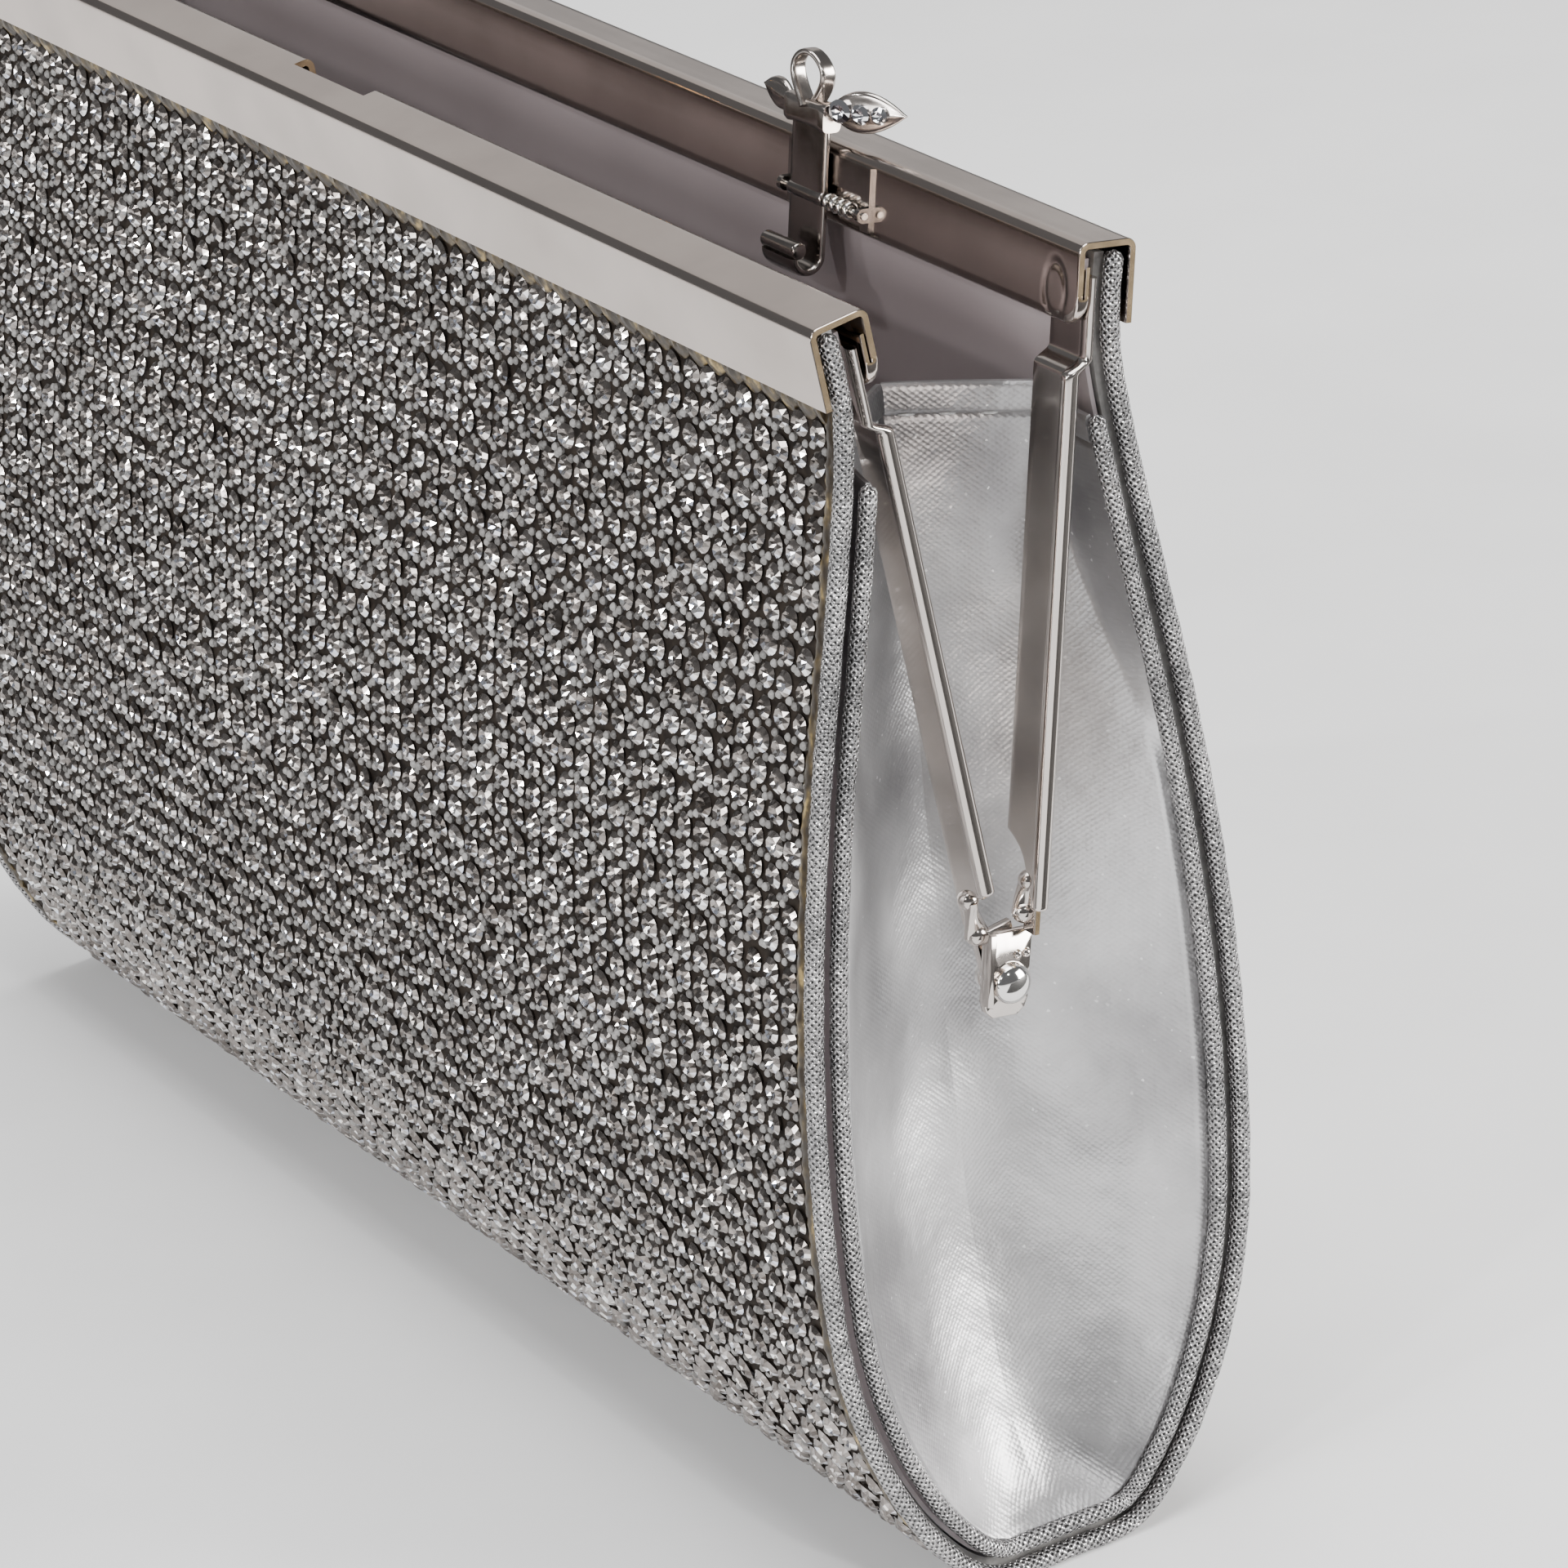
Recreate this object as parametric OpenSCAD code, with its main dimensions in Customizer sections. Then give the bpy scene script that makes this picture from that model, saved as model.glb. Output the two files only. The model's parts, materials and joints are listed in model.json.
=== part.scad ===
// Framed evening bag, shown open: a crystal-covered clutch hung on two hinged metal rails.
// X runs along the bag, +Y is the side that carries the clasp, +Z is up.
// The origin is at the middle of the base, on the surface that the bag stands on.
// Each half of the frame is drawn shut and facing +Y, then swung open about the rivets.

/* [Bag] */
// Depth of the body at its widest, between the outer faces of the two panels
body_d = 44.2; // [40:0.1:50]
// Depth of the body below the hinge rivets
drop = 54.3; // [53.9:0.1:55]
// Width of the flat strip that the bag stands on
base_flat = 11.6; // [8:0.1:13]
// How far the end gussets fold in at the mouth
gusset_fold = 14.5; // [12:0.1:17]
// Diameter of the rolled bindings at both ends
binding_d = 1.7; // [1.2:0.05:1.7]

/* [Frame] */
// Length of the two rails
frame_len = 172; // [150:1:220]
// Height of a rail's top above the rivets
rail_top = 64.6; // [64:0.1:65.5]
// Width across a rail's channel
rail_w = 5.6; // [5.4:0.05:6]
// Height of a rail's two legs
rail_leg = 7.2; // [6.8:0.05:7.6]
// Thickness of the rail sheet
sheet = 0.6; // [0.5:0.05:0.65]
// Distance from the middle plane to a rail's inner face when the frame is shut
rail_gap = 1; // [1:0.05:1.1]
// Angle that each half of the frame stands open from shut, in degrees
open_angle = 8.3; // [8:0.1:8.5]
// Length of the notch in the front rail's top
notch_l = 13; // [8:0.5:18]
// Depth of that notch, across the rail
notch_w = 1.9; // [1.2:0.1:2.2]

/* [Hinge] */
// Width of a hinge arm's strip
arm_w = 5.6; // [4.8:0.1:5.7]
// Thickness of a hinge arm's strip
arm_t = 0.6; // [0.5:0.05:0.6]
// Diameter of the rounded bead down an arm's outer edge
bead_d = 1.5; // [1.2:0.05:1.5]
// Diameter of the rivets' shanks
rivet_d = 2.2; // [1.6:0.1:2.4]
// Diameter of the rivets' domed heads
rivet_head_d = 3.7; // [3:0.1:3.8]

/* [Clasp] */
// Position of the clasp along the bag
clasp_x = 46.6; // [40:0.1:55]
// Width of the clasp lever's stem
stem_w = 5.4; // [4.5:0.1:5.6]
// Thickness of the stem
stem_t = 0.8; // [0.6:0.05:0.8]
// Diameter of the clasp's pin
pin_d = 0.6; // [0.5:0.05:0.6]
// Number of turns in the clasp's spring
spring_turns = 4; // [3:1:5]

/* [Hidden] */
$fn = 48;
half = frame_len / 2;
pivot_z = drop + binding_d / 2;
pivot_x = half - 2.45;
hole_gap = 0.05;

// Middle line of the rolled binding where it lies in a rail's channel
chan_n = rail_gap + rail_w - sheet - 1.2;
// Clasp's pin in the shut half: distance from the middle plane, and height above the rivets
pin_n = 0.2;
pin_z = 59.6;
// Turn of the open frame
ca = cos(open_angle);
sa = sin(open_angle);

// Turns a point of a shut half (out, up from the rivets) to its open place
function opened(n, z) = [n * ca + z * sa, z * ca - n * sa];

// The panel's line from the rail down to the middle of the base (half depth, height above rivets)
w = (body_d - binding_d) / 2 / 21.25;
b = base_flat / 2;
KEYS = [
    opened(chan_n, rail_top - 1.9), opened(chan_n, rail_top - rail_leg),
    [13.3, 50.5], [14.6 * w, 42], [16.2 * w, 33], [18.2 * w, 22], [20.1 * w, 8],
    [21.1 * w, -5], [21.25 * w, -17], [20.5 * w, -28.5], [18.2 * w, -38], [14.6 * w, -46],
    [b + 5, 3 - drop], [b + 2.3, 0.7 - drop], [b, -drop], [b / 2, -drop], [0, -drop]
];

// Smooth curve through the key points
function spline(a, p, q, r, t) =
    0.5 * (2 * p + (q - a) * t + (2 * a - 5 * p + 4 * q - r) * t * t
    + (3 * p - a - 3 * q + r) * t * t * t);
function key(i) = KEYS[max(0, min(len(KEYS) - 1, i))];
STEPS = 5;
half_line = [for (i = [0 : len(KEYS) - 2], k = [0 : STEPS - 1])
    spline(key(i - 1), key(i), key(i + 1), key(i + 2), k / STEPS), KEYS[len(KEYS) - 1]];
n_half = len(half_line);

// The same line shifted outward by d, from the rail to the base
function unit(v) = v / norm(v);
function along(i) = unit(half_line[min(n_half - 1, i + 1)] - half_line[max(0, i - 1)]);
function shifted(d) = [for (i = [0 : n_half - 1])
    i == n_half - 1 ? half_line[i] + [0, -d] : half_line[i] + d * [-along(i)[1], along(i)[0]]];
function flip(line) = [for (i = [len(line) - 1 : -1 : 0]) [-line[i][0], line[i][1]]];
function reversed(line) = [for (i = [len(line) - 1 : -1 : 0]) line[i]];
function whole(d) = let (s = shifted(d)) concat(s, [for (i = [1 : n_half - 1]) flip(s)[i]]);

// Half width inside the gusset's binding at a height above the rivets
INNER = [for (p = reversed(shifted(-2 * binding_d))) [p[1], p[0]]];
inner_low = INNER[0][0];

// Placing
module rear_half() {
    translate([0, 0, pivot_z])
        rotate([-open_angle, 0, 0])
            children();
}

module front_half() {
    mirror([0, 1, 0])
        rear_half()
            children();
}

module at_left() {
    mirror([1, 0, 0])
        children();
}

// Extrudes a drawing of (out, up) along the bag
module run(x0, x1) {
    translate([x0, 0, 0])
        rotate([90, 0, 90])
            linear_extrude(x1 - x0)
                children();
}

// Rails
module rail_section() {
    difference() {
        union() {
            translate([rail_gap, rail_top - rail_leg])
                square([rail_w, rail_leg - 0.9]);
            translate([rail_gap + 0.9, rail_top - 1.8])
                square([rail_w - 1.8, 1.8]);
            for (n = [rail_gap + 0.9, rail_gap + rail_w - 0.9])
                translate([n, rail_top - 0.9])
                    circle(0.9);
        }
        translate([rail_gap + sheet, rail_top - rail_leg - 1])
            square([rail_w - 2 * sheet, rail_leg - sheet + 0.6]);
        translate([rail_gap + sheet + 0.4, rail_top - 2])
            square([rail_w - 2 * sheet - 0.8, 2 - sheet]);
    }
    // The inner leg's lower edge is folded back on itself
    translate([rail_gap + sheet - 0.1, rail_top - rail_leg])
        square([0.65, 0.5]);
    translate([rail_gap + sheet + 0.08, rail_top - rail_leg])
        square([0.47, rail_leg - 2.6]);
}

module rail(notched = false) {
    difference() {
        run(-half, half)
            rail_section();
        for (s = [-1, 1]) {
            // Rounded lower corners of the inner leg
            translate([s * half, rail_gap - 1, rail_top - rail_leg])
                difference() {
                    translate([-2.2, 0, -1])
                        cube([4.4, 2.6, 3.2]);
                    translate([-s * 2.2, -1, 2.2])
                        rotate([-90, 0, 0])
                            cylinder(r = 2.2, h = 5);
                }
            // Pressed hollow near each end of the inner face
            translate([s * (half - 3.4), rail_gap - 5.78, rail_top - 4.4])
                sphere(6);
        }
        if (notched) {
            translate([-notch_l / 2 + notch_w, rail_gap - 1, rail_top - 3.2])
                cube([notch_l - 2 * notch_w, notch_w + 1, 5]);
            for (s = [-1, 1])
                translate([s * (notch_l / 2 - notch_w), rail_gap, rail_top - 3.2])
                    cylinder(r = notch_w, h = 5);
        }
    }
}

module front_rail() {
    color([0.72, 0.69, 0.66])
        front_half()
            rail(true);
}

module rear_rail() {
    color([0.62, 0.59, 0.57])
        rear_half()
            rail();
}

// Hinge arms
low_n = rail_gap;
high_n = rail_gap + sheet + 0.85;
jog_z = 53.3;

module arm_line(t0, t1, z0) {
    polygon([
        [low_n + t0, z0], [low_n + t0, jog_z], [high_n + t0, jog_z + 1.5],
        [high_n + t0, rail_top - 1.7], [high_n + t1, rail_top - 1.7],
        [high_n + t1, jog_z + 1.5 - 0.2], [low_n + t1, jog_z - 0.2], [low_n + t1, z0]
    ]);
}

// Strip with a bead down its outer edge; z0 is the lower end of the strip, z1 that of the bead
module arm_strip(z0, z1) {
    bead_n = arm_t / 2 + 0.05;
    edge = half - 0.1;
    run(edge - arm_w, edge - bead_d / 2)
        arm_line(0, arm_t, z0);
    for (p = [[low_n, z1, jog_z - z1], [high_n, jog_z + 1.4, rail_top - jog_z - 3.1]])
        translate([edge - bead_d / 2, p[0] + bead_n, p[1]])
            cylinder(d = bead_d, h = p[2]);
    translate([edge - bead_d / 2, low_n + bead_n, jog_z])
        rotate([-atan2(high_n - low_n, 1.4), 0, 0])
            cylinder(d = bead_d, h = norm([high_n - low_n, 1.4]));
    for (p = [[low_n, jog_z], [high_n, jog_z + 1.4], [low_n, z1]])
        translate([edge - bead_d / 2, p[0] + bead_n, p[1]])
            sphere(d = bead_d);
}

// Plate round the rivet, with its face square to the rivet; n0 and n1 are its two edges
module lug(x0, x1, n0, n1, z1) {
    difference() {
        union() {
            run(x0, x1)
                polygon([[n0 + 1, -3.1], [n1 - 1, -3.1], [n1, -1.6], [n1, z1], [n0, z1], [n0, -1.6]]);
        }
        rotate([0, 90, 0])
            cylinder(d = rivet_d + 2 * hole_gap, h = 2 * half);
    }
}

module front_arm() {
    lx = pivot_x - 2.3;
    difference() {
        arm_strip(-1.5, 10);
        // The strip is cut back below the bead so that the other lug can pass it
        translate([lx + 0.9, low_n - 2, -4])
            cube([8, 6, 12.6]);
        translate([half - 0.1 - arm_w - 3.2, low_n - 1, 3])
            rotate([-90, 0, 0])
                cylinder(r = 4, h = 3);
        // Room for the rivet and its clenched head
        translate([lx - 5, 0, 0])
            rotate([0, 90, 0]) {
                cylinder(r = 2.1, h = 5);
                cylinder(d = rivet_d + 2 * hole_gap, h = 10);
            }
    }
    lug(lx, lx + 0.9, -2.1, low_n + arm_t, 4.6);
    // Formed boss where the strip meets the lug
    translate([lx + 0.2, low_n + 0.1, 8.2])
        sphere(1.05);
    translate([lx + 0.1, low_n + 0.1, 4.6])
        sphere(0.95);
}

module rear_arm() {
    lx = pivot_x - 1;
    difference() {
        arm_strip(3.6, 6.9);
        // Curved cut that narrows the strip above the lug
        translate([half - 0.1 - arm_w - 1, low_n - 2, -4])
            cube([arm_w - 2.4, 6, 12.6]);
        translate([half - 0.1 - arm_w - 0.6, low_n - 2, 8.8])
            rotate([-90, 0, 0])
                cylinder(r = 3.7, h = 6);
    }
    lug(lx, lx + 0.9, -2.5, 2, 4.6);
    // Side wall of the lug, proud of the plate
    difference() {
        run(lx, lx + 1.7)
            polygon([[-2.6, -1.6], [-2.05, -1.9], [-2.05, 4.9], [-2.6, 4.9]]);
        translate([lx - 1, -4, 4.9])
            rotate([0, 28, 0])
                cube([4, 4, 2]);
    }
    // Formed bosses above the rivet
    translate([lx + 0.75, low_n + 0.1, 6.4])
        sphere(1.05);
    for (n = [0.6, 1.5])
        translate([lx + 0.8, n, 2.45])
            sphere(0.42);
}

module front_arm_right() {
    color([0.8, 0.77, 0.73])
        front_half()
            front_arm();
}

module front_arm_left() {
    color([0.8, 0.77, 0.73])
        at_left()
            front_half()
                front_arm();
}

module rear_arm_right() {
    color([0.8, 0.77, 0.73])
        rear_half()
            rear_arm();
}

module rear_arm_left() {
    color([0.8, 0.77, 0.73])
        at_left()
            rear_half()
                rear_arm();
}

// Rivets: a domed head outside and a flat clenched head inside
module rivet() {
    r = rivet_head_d / 2;
    dome = 1.35;
    big = (r * r + dome * dome) / 2 / dome;
    rotate([0, 90, 0]) {
        translate([0, 0, pivot_x - 3.1])
            cylinder(d = rivet_d, h = 3.4);
        translate([0, 0, pivot_x - 3.1])
            cylinder(r = 1.7, h = 0.72);
        translate([0, 0, pivot_x - 0.05])
            intersection() {
                translate([0, 0, dome - big])
                    sphere(big);
                cylinder(r = r, h = 3);
            }
    }
}

module pivot_rivets() {
    color([0.85, 0.82, 0.79])
        translate([0, 0, pivot_z]) {
            rivet();
            at_left()
                rivet();
        }
}

// Panels: bands that follow the panel's line between two shifts d0 and d1
wrap_out = binding_d / 2;
wrap_in = -0.1;
board_out = -0.2;
board_in = -1.15;
lining_out = -1.35;
lining_in = -1.75;
panel_x = half - 0.6 - binding_d / 2 - 0.15;

module band(d0, d1) {
    polygon(concat(whole(d0), reversed(whole(d1))));
}

module cut_band(d0, d1, z0, z1, side) {
    intersection() {
        band(d0, d1);
        translate([side < 0 ? -40 : 0, z0])
            square([side == 0 ? 0.001 : 40, z1 - z0]);
    }
}

module panel(d0, d1, z0, z1, side, x) {
    translate([0, 0, pivot_z])
        run(-x, x)
            cut_band(d0, d1, z0, z1, side);
}

module lower_panel(d0, d1, x) {
    translate([0, 0, pivot_z])
        run(-x, x)
            intersection() {
                band(d0, d1);
                translate([-40, -60])
                    square([80, 59.85]);
            }
}

module wrap_front() {
    color([0.66, 0.65, 0.65])
        panel(wrap_in, wrap_out, 0.15, 70, -1, panel_x);
}

module wrap_rear() {
    color([0.66, 0.65, 0.65])
        panel(wrap_in, wrap_out, 0.15, 70, 1, panel_x);
}

module wrap_base() {
    color([0.66, 0.65, 0.65])
        lower_panel(wrap_in, wrap_out, panel_x);
}

module front_board() {
    color([0.5, 0.49, 0.48])
        panel(board_in, board_out, 0.15, 70, -1, panel_x - 0.1);
}

module rear_board() {
    color([0.36, 0.35, 0.34])
        panel(board_in, board_out, 0.15, 70, 1, panel_x - 0.1);
}

module base_board() {
    color([0.5, 0.49, 0.48])
        lower_panel(board_in, board_out, panel_x - 0.1);
}

module lining() {
    color([0.42, 0.38, 0.4])
        difference() {
            translate([0, 0, pivot_z])
                run(-panel_x + 0.4, panel_x - 0.4)
                    band(lining_in, lining_out);
            // Clear of the hinge arms inside the channels
            for (s = [-1, 1])
                translate([s > 0 ? half - arm_w - 0.5 : -half - 5, -20, pivot_z + 50.6])
                    cube([arm_w + 5.5, 40, 15]);
        }
}

// Rolled bindings: a cord of round section along the panel's line at each end
function ring(line, i, r, n) =
    let (a = line[max(0, i - 1)], c = line[min(len(line) - 1, i + 1)], t = unit(c - a))
    [for (k = [0 : n - 1]) [r * cos(k * 360 / n), line[i][0] - t[1] * r * sin(k * 360 / n),
        line[i][1] + t[0] * r * sin(k * 360 / n)]];

module cord(line, r, n = 12) {
    m = len(line);
    points = [for (i = [0 : m - 1]) each ring(line, i, r, n)];
    sides = [for (i = [0 : m - 2], k = [0 : n - 1])
        [i * n + k, i * n + (k + 1) % n, (i + 1) * n + (k + 1) % n, (i + 1) * n + k]];
    ends = [[for (k = [n - 1 : -1 : 0]) k], [for (k = [0 : n - 1]) (m - 1) * n + k]];
    polyhedron(points, concat(sides, ends), convexity = 8);
}

// Every second point of a line, with both of its ends
function thinned(line) = [for (i = [0 : len(line) - 1]) if (i % 2 == 0 || i == len(line) - 1) line[i]];
function below(line, z) = [for (p = line) if (p[1] < z) p];

module panel_binding() {
    translate([half - 0.6, 0, pivot_z])
        cord(thinned(whole(0)), binding_d / 2 - 0.01);
}

module gusset_binding() {
    translate([half - 0.6, 0, pivot_z])
        cord(thinned(below(whole(-2.42), 48.6)), 0.8 * binding_d / 2 + 0.1);
}

module panel_binding_right() {
    color([0.75, 0.75, 0.77])
        panel_binding();
}

module panel_binding_left() {
    color([0.75, 0.75, 0.77])
        at_left()
            panel_binding();
}

module gusset_binding_right() {
    color([0.75, 0.75, 0.77])
        gusset_binding();
}

module gusset_binding_left() {
    color([0.75, 0.75, 0.77])
        at_left()
            gusset_binding();
}

// Gussets: a sheet that folds in between the panels, deepest at the middle
function smooth(t) = let (u = max(0, min(1, t))) u * u * (3 - 2 * u);
function fold_depth(z) = z > 0 ? 12 + (gusset_fold - 12) * z / 50
    : 0.8 + 11.2 * pow(max(0, 1 - pow(z / inner_low, 2.4)), 0.6);
function side_depth(z) = 5.9 * smooth((z - 14) / 22);
function fold_power(z) = 2.1 - 1.0 * smooth((z + 5) / 50);
function gusset_x(u, z) = half - 1.2
    - side_depth(z) * min(1, (1 - u) / 0.05)
    - (fold_depth(z) - side_depth(z)) * (1 - pow(min(1, u / 0.95), fold_power(z)));

module gusset_sheet(z0, z1, rows, cols = 28, t = 0.5) {
    us = [for (k = [0 : cols]) let (v = 2 * k / cols - 1) sign(v) * (1 - pow(1 - abs(v), 1.6))];
    zs = [for (j = [0 : rows]) z0 + (z1 - z0) * j / rows];
    n = cols + 1;
    front = [for (z = zs, u = us) let (e = lookup(z, INNER) - 0.05)
        [gusset_x(abs(u), z), u * e, z]];
    back = [for (z = zs, u = us) let (e = lookup(z, INNER) - 0.05)
        [gusset_x(abs(u), z) - t, u * (e - 0.45), z]];
    m = n * (rows + 1);
    faces = concat(
        [for (j = [0 : rows - 1], k = [0 : cols - 1]) each
            [[j * n + k, (j + 1) * n + k, j * n + k + 1],
            [j * n + k + 1, (j + 1) * n + k, (j + 1) * n + k + 1]]],
        [for (j = [0 : rows - 1], k = [0 : cols - 1]) each
            [[m + j * n + k, m + j * n + k + 1, m + (j + 1) * n + k],
            [m + j * n + k + 1, m + (j + 1) * n + k + 1, m + (j + 1) * n + k]]],
        [for (k = [0 : cols - 1]) each [[k, k + 1, m + k], [k + 1, m + k + 1, m + k]]],
        [for (k = [0 : cols - 1]) let (r = rows * n) each
            [[r + k, m + r + k, r + k + 1], [r + k + 1, m + r + k, m + r + k + 1]]],
        [for (j = [0 : rows - 1]) each
            [[j * n, m + j * n, (j + 1) * n], [m + j * n, m + (j + 1) * n, (j + 1) * n]]],
        [for (j = [0 : rows - 1]) let (c = cols) each
            [[j * n + c, (j + 1) * n + c, m + j * n + c],
            [m + j * n + c, (j + 1) * n + c, m + (j + 1) * n + c]]]
    );
    translate([0, 0, pivot_z])
        polyhedron([each front, each back], faces, convexity = 8);
}

hem_z = 50.2;

module gusset_top() {
    gusset_sheet(0.15, hem_z, 16);
}

module gusset_base() {
    gusset_sheet(inner_low + 0.35, -0.15, 14);
}

module gusset_top_right() {
    color([0.68, 0.68, 0.69])
        gusset_top();
}

module gusset_top_left() {
    color([0.68, 0.68, 0.69])
        at_left()
            gusset_top();
}

module gusset_base_right() {
    color([0.68, 0.68, 0.69])
        gusset_base();
}

module gusset_base_left() {
    color([0.68, 0.68, 0.69])
        at_left()
            gusset_base();
}

// Stitches below the hem at the gusset's top, standing on its outer face
module stitch_row() {
    z = hem_z - 2.8;
    e = lookup(z, INNER) - 0.05;
    for (s = [-1, 1], k = [0 : 2]) {
        u = 0.14 + 0.25 * k;
        x = gusset_x(u, z);
        slope = atan2(gusset_x(u + 0.05, z) - gusset_x(u - 0.05, z), 0.1 * e);
        translate([x + 0.34, s * u * e, pivot_z + z])
            rotate([0, 0, -s * slope])
                rotate([90, 0, 0])
                    cylinder(r = 0.13, h = 1.6, center = true, $fn = 16);
    }
}

module hem_stitches() {
    color([0.8, 0.8, 0.8]) {
        stitch_row();
        at_left()
            stitch_row();
    }
}

// Clasp: a sprung lever on the rear rail's inner face, its hook pointing to the front rail
module clasp_place() {
    rear_half()
        translate([clasp_x, 0, 0])
            children();
}

// The same, with the pin's line in the middle of the bag's depth
module pin_place() {
    clasp_place()
        translate([0, pin_n, 0])
            children();
}

br_l = -stem_w / 2 - 1.5;
br_r = stem_w / 2 + 6;

module clasp_bracket() {
    color([0.4, 0.37, 0.35])
        clasp_place()
            difference() {
                union() {
                    translate([br_l, rail_gap - 0.3, 61])
                        cube([br_r - br_l, 0.3, 2.6]);
                    for (x = [br_l, br_r - 1.3])
                        translate([x, rail_gap - 0.3, 58])
                            cube([1.3, 0.3, 3.4]);
                    for (x = [br_l, br_r - 0.6])
                        translate([x, pin_n, pin_z])
                            rotate([0, 90, 0]) {
                                cylinder(r = 0.65, h = 0.6);
                                translate([-0.65, 0, 0])
                                    cube([1.3, rail_gap - pin_n, 0.6]);
                            }
                }
                translate([0, pin_n, pin_z])
                    rotate([0, 90, 0])
                        cylinder(d = pin_d + 0.06, h = 60, center = true);
            }
}

module clasp_pin() {
    color([0.75, 0.72, 0.68])
        clasp_place()
            translate([br_l - 0.2, pin_n, pin_z])
                rotate([0, 90, 0])
                    cylinder(d = pin_d, h = br_r - br_l + 0.4);
}

// Spring turns are separate rings side by side on the pin
module clasp_spring() {
    color([0.9, 0.88, 0.84])
        clasp_place()
            for (k = [0 : spring_turns - 1])
                translate([stem_w / 2 + 0.75 + k * 1.05, pin_n, pin_z])
                    rotate([0, 90, 0])
                        rotate_extrude()
                            translate([0.55, 0])
                                circle(0.22, $fn = 24);
}

module clasp_lever() {
    hook_r = 1.75;
    color([0.6, 0.56, 0.53])
        pin_place()
            difference() {
                union() {
                    translate([-stem_w / 2, -stem_t / 2, 54.6])
                        cube([stem_w, stem_t, 12.4]);
                    // Boss round the pin
                    translate([-stem_w / 2, 0, pin_z])
                        rotate([0, 90, 0])
                            cylinder(r = 0.62, h = stem_w);
                    // Hook: half a turn forward below the rail
                    run(-stem_w / 2, stem_w / 2)
                        translate([stem_t / 2 - hook_r, 54.6])
                            intersection() {
                                difference() {
                                    circle(hook_r);
                                    circle(hook_r - stem_t);
                                }
                                translate([-5, -5])
                                    square([10, 5]);
                            }
                    // Rolled lip
                    translate([-stem_w / 2, stem_t / 2 - 2 * hook_r + 0.72, 55.3])
                        rotate([0, 90, 0])
                            cylinder(r = 0.75, h = stem_w);
                }
                translate([0, 0, pin_z])
                    rotate([0, 90, 0])
                        cylinder(d = pin_d + 0.08, h = 30, center = true);
            }
}

// The right leaf's turn towards the back
leaf_turn = 26;

// One leaf of the bow, its stalk at the origin and its tip along +X
module leaf(l, h) {
    r = (l * l / 4 + h * h / 4) / h;
    rotate([90, 0, 0])
        linear_extrude(1, center = true)
            intersection() {
                translate([l / 2, h / 2 - r])
                    circle(r, $fn = 96);
                translate([l / 2, r - h / 2])
                    circle(r, $fn = 96);
            }
}

module clasp_bow() {
    color([0.62, 0.6, 0.58])
        pin_place() {
            // Knot that closes over the stem's top, and the loop over it
            difference() {
                union() {
                    translate([-stem_w / 2 - 0.5, -1.15, 65.35])
                        cube([stem_w + 1, 2.3, 2.9]);
                    translate([0.2, 0, 69.4])
                        rotate([90, 0, 0])
                            difference() {
                                cylinder(r = 2.9, h = 1.6, center = true);
                                cylinder(r = 1.9, h = 3, center = true);
                            }
                }
                translate([-stem_w / 2 - 0.05, -stem_t / 2 - 0.05, 60])
                    cube([stem_w + 0.1, stem_t + 0.1, 7.05]);
            }
            // Leaves
            translate([stem_w / 2 + 0.1, 0, 67.6])
                rotate([0, -4, leaf_turn])
                    leaf(7.4, 3.8);
            translate([-stem_w / 2 - 0.1, 0, 67.1])
                mirror([1, 0, 0])
                    rotate([0, -12, 0])
                        leaf(4.6, 2.8);
        }
}

module bow_stones() {
    color([0.93, 0.93, 0.96])
        pin_place()
            for (p = [[1.3, 67.7, 1.05], [3.3, 67.7, 0.9], [5.2, 67.9, 0.8]])
                translate([stem_w / 2 + 0.1, 0, p[1]])
                    rotate([0, 0, leaf_turn])
                        translate([p[0], -0.52, 0])
                            rotate([90, 0, 0])
                                rotate_extrude()
                                    polygon([[0, 0], [p[2], 0], [p[2], 0.2], [p[2] * 0.55, 0.65], [0, 0.65]]);
}

front_rail();
rear_rail();
front_arm_right();
front_arm_left();
rear_arm_right();
rear_arm_left();
pivot_rivets();
wrap_front();
wrap_rear();
wrap_base();
front_board();
rear_board();
base_board();
panel_binding_right();
panel_binding_left();
gusset_binding_right();
gusset_binding_left();
gusset_top_right();
gusset_top_left();
gusset_base_right();
gusset_base_left();
hem_stitches();
lining();
clasp_bracket();
clasp_pin();
clasp_spring();
clasp_lever();
clasp_bow();
bow_stones();
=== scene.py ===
"""Looks of the framed evening bag: stones, bindings, gussets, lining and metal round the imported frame.

Lengths are in millimetres until a piece is made. A half of the frame is described shut, by
its distance n from the middle plane and its height z above the rivets, then swung open.
"""
import json
import math

import bpy
import numpy as np
from mathutils import Matrix, Vector


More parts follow.
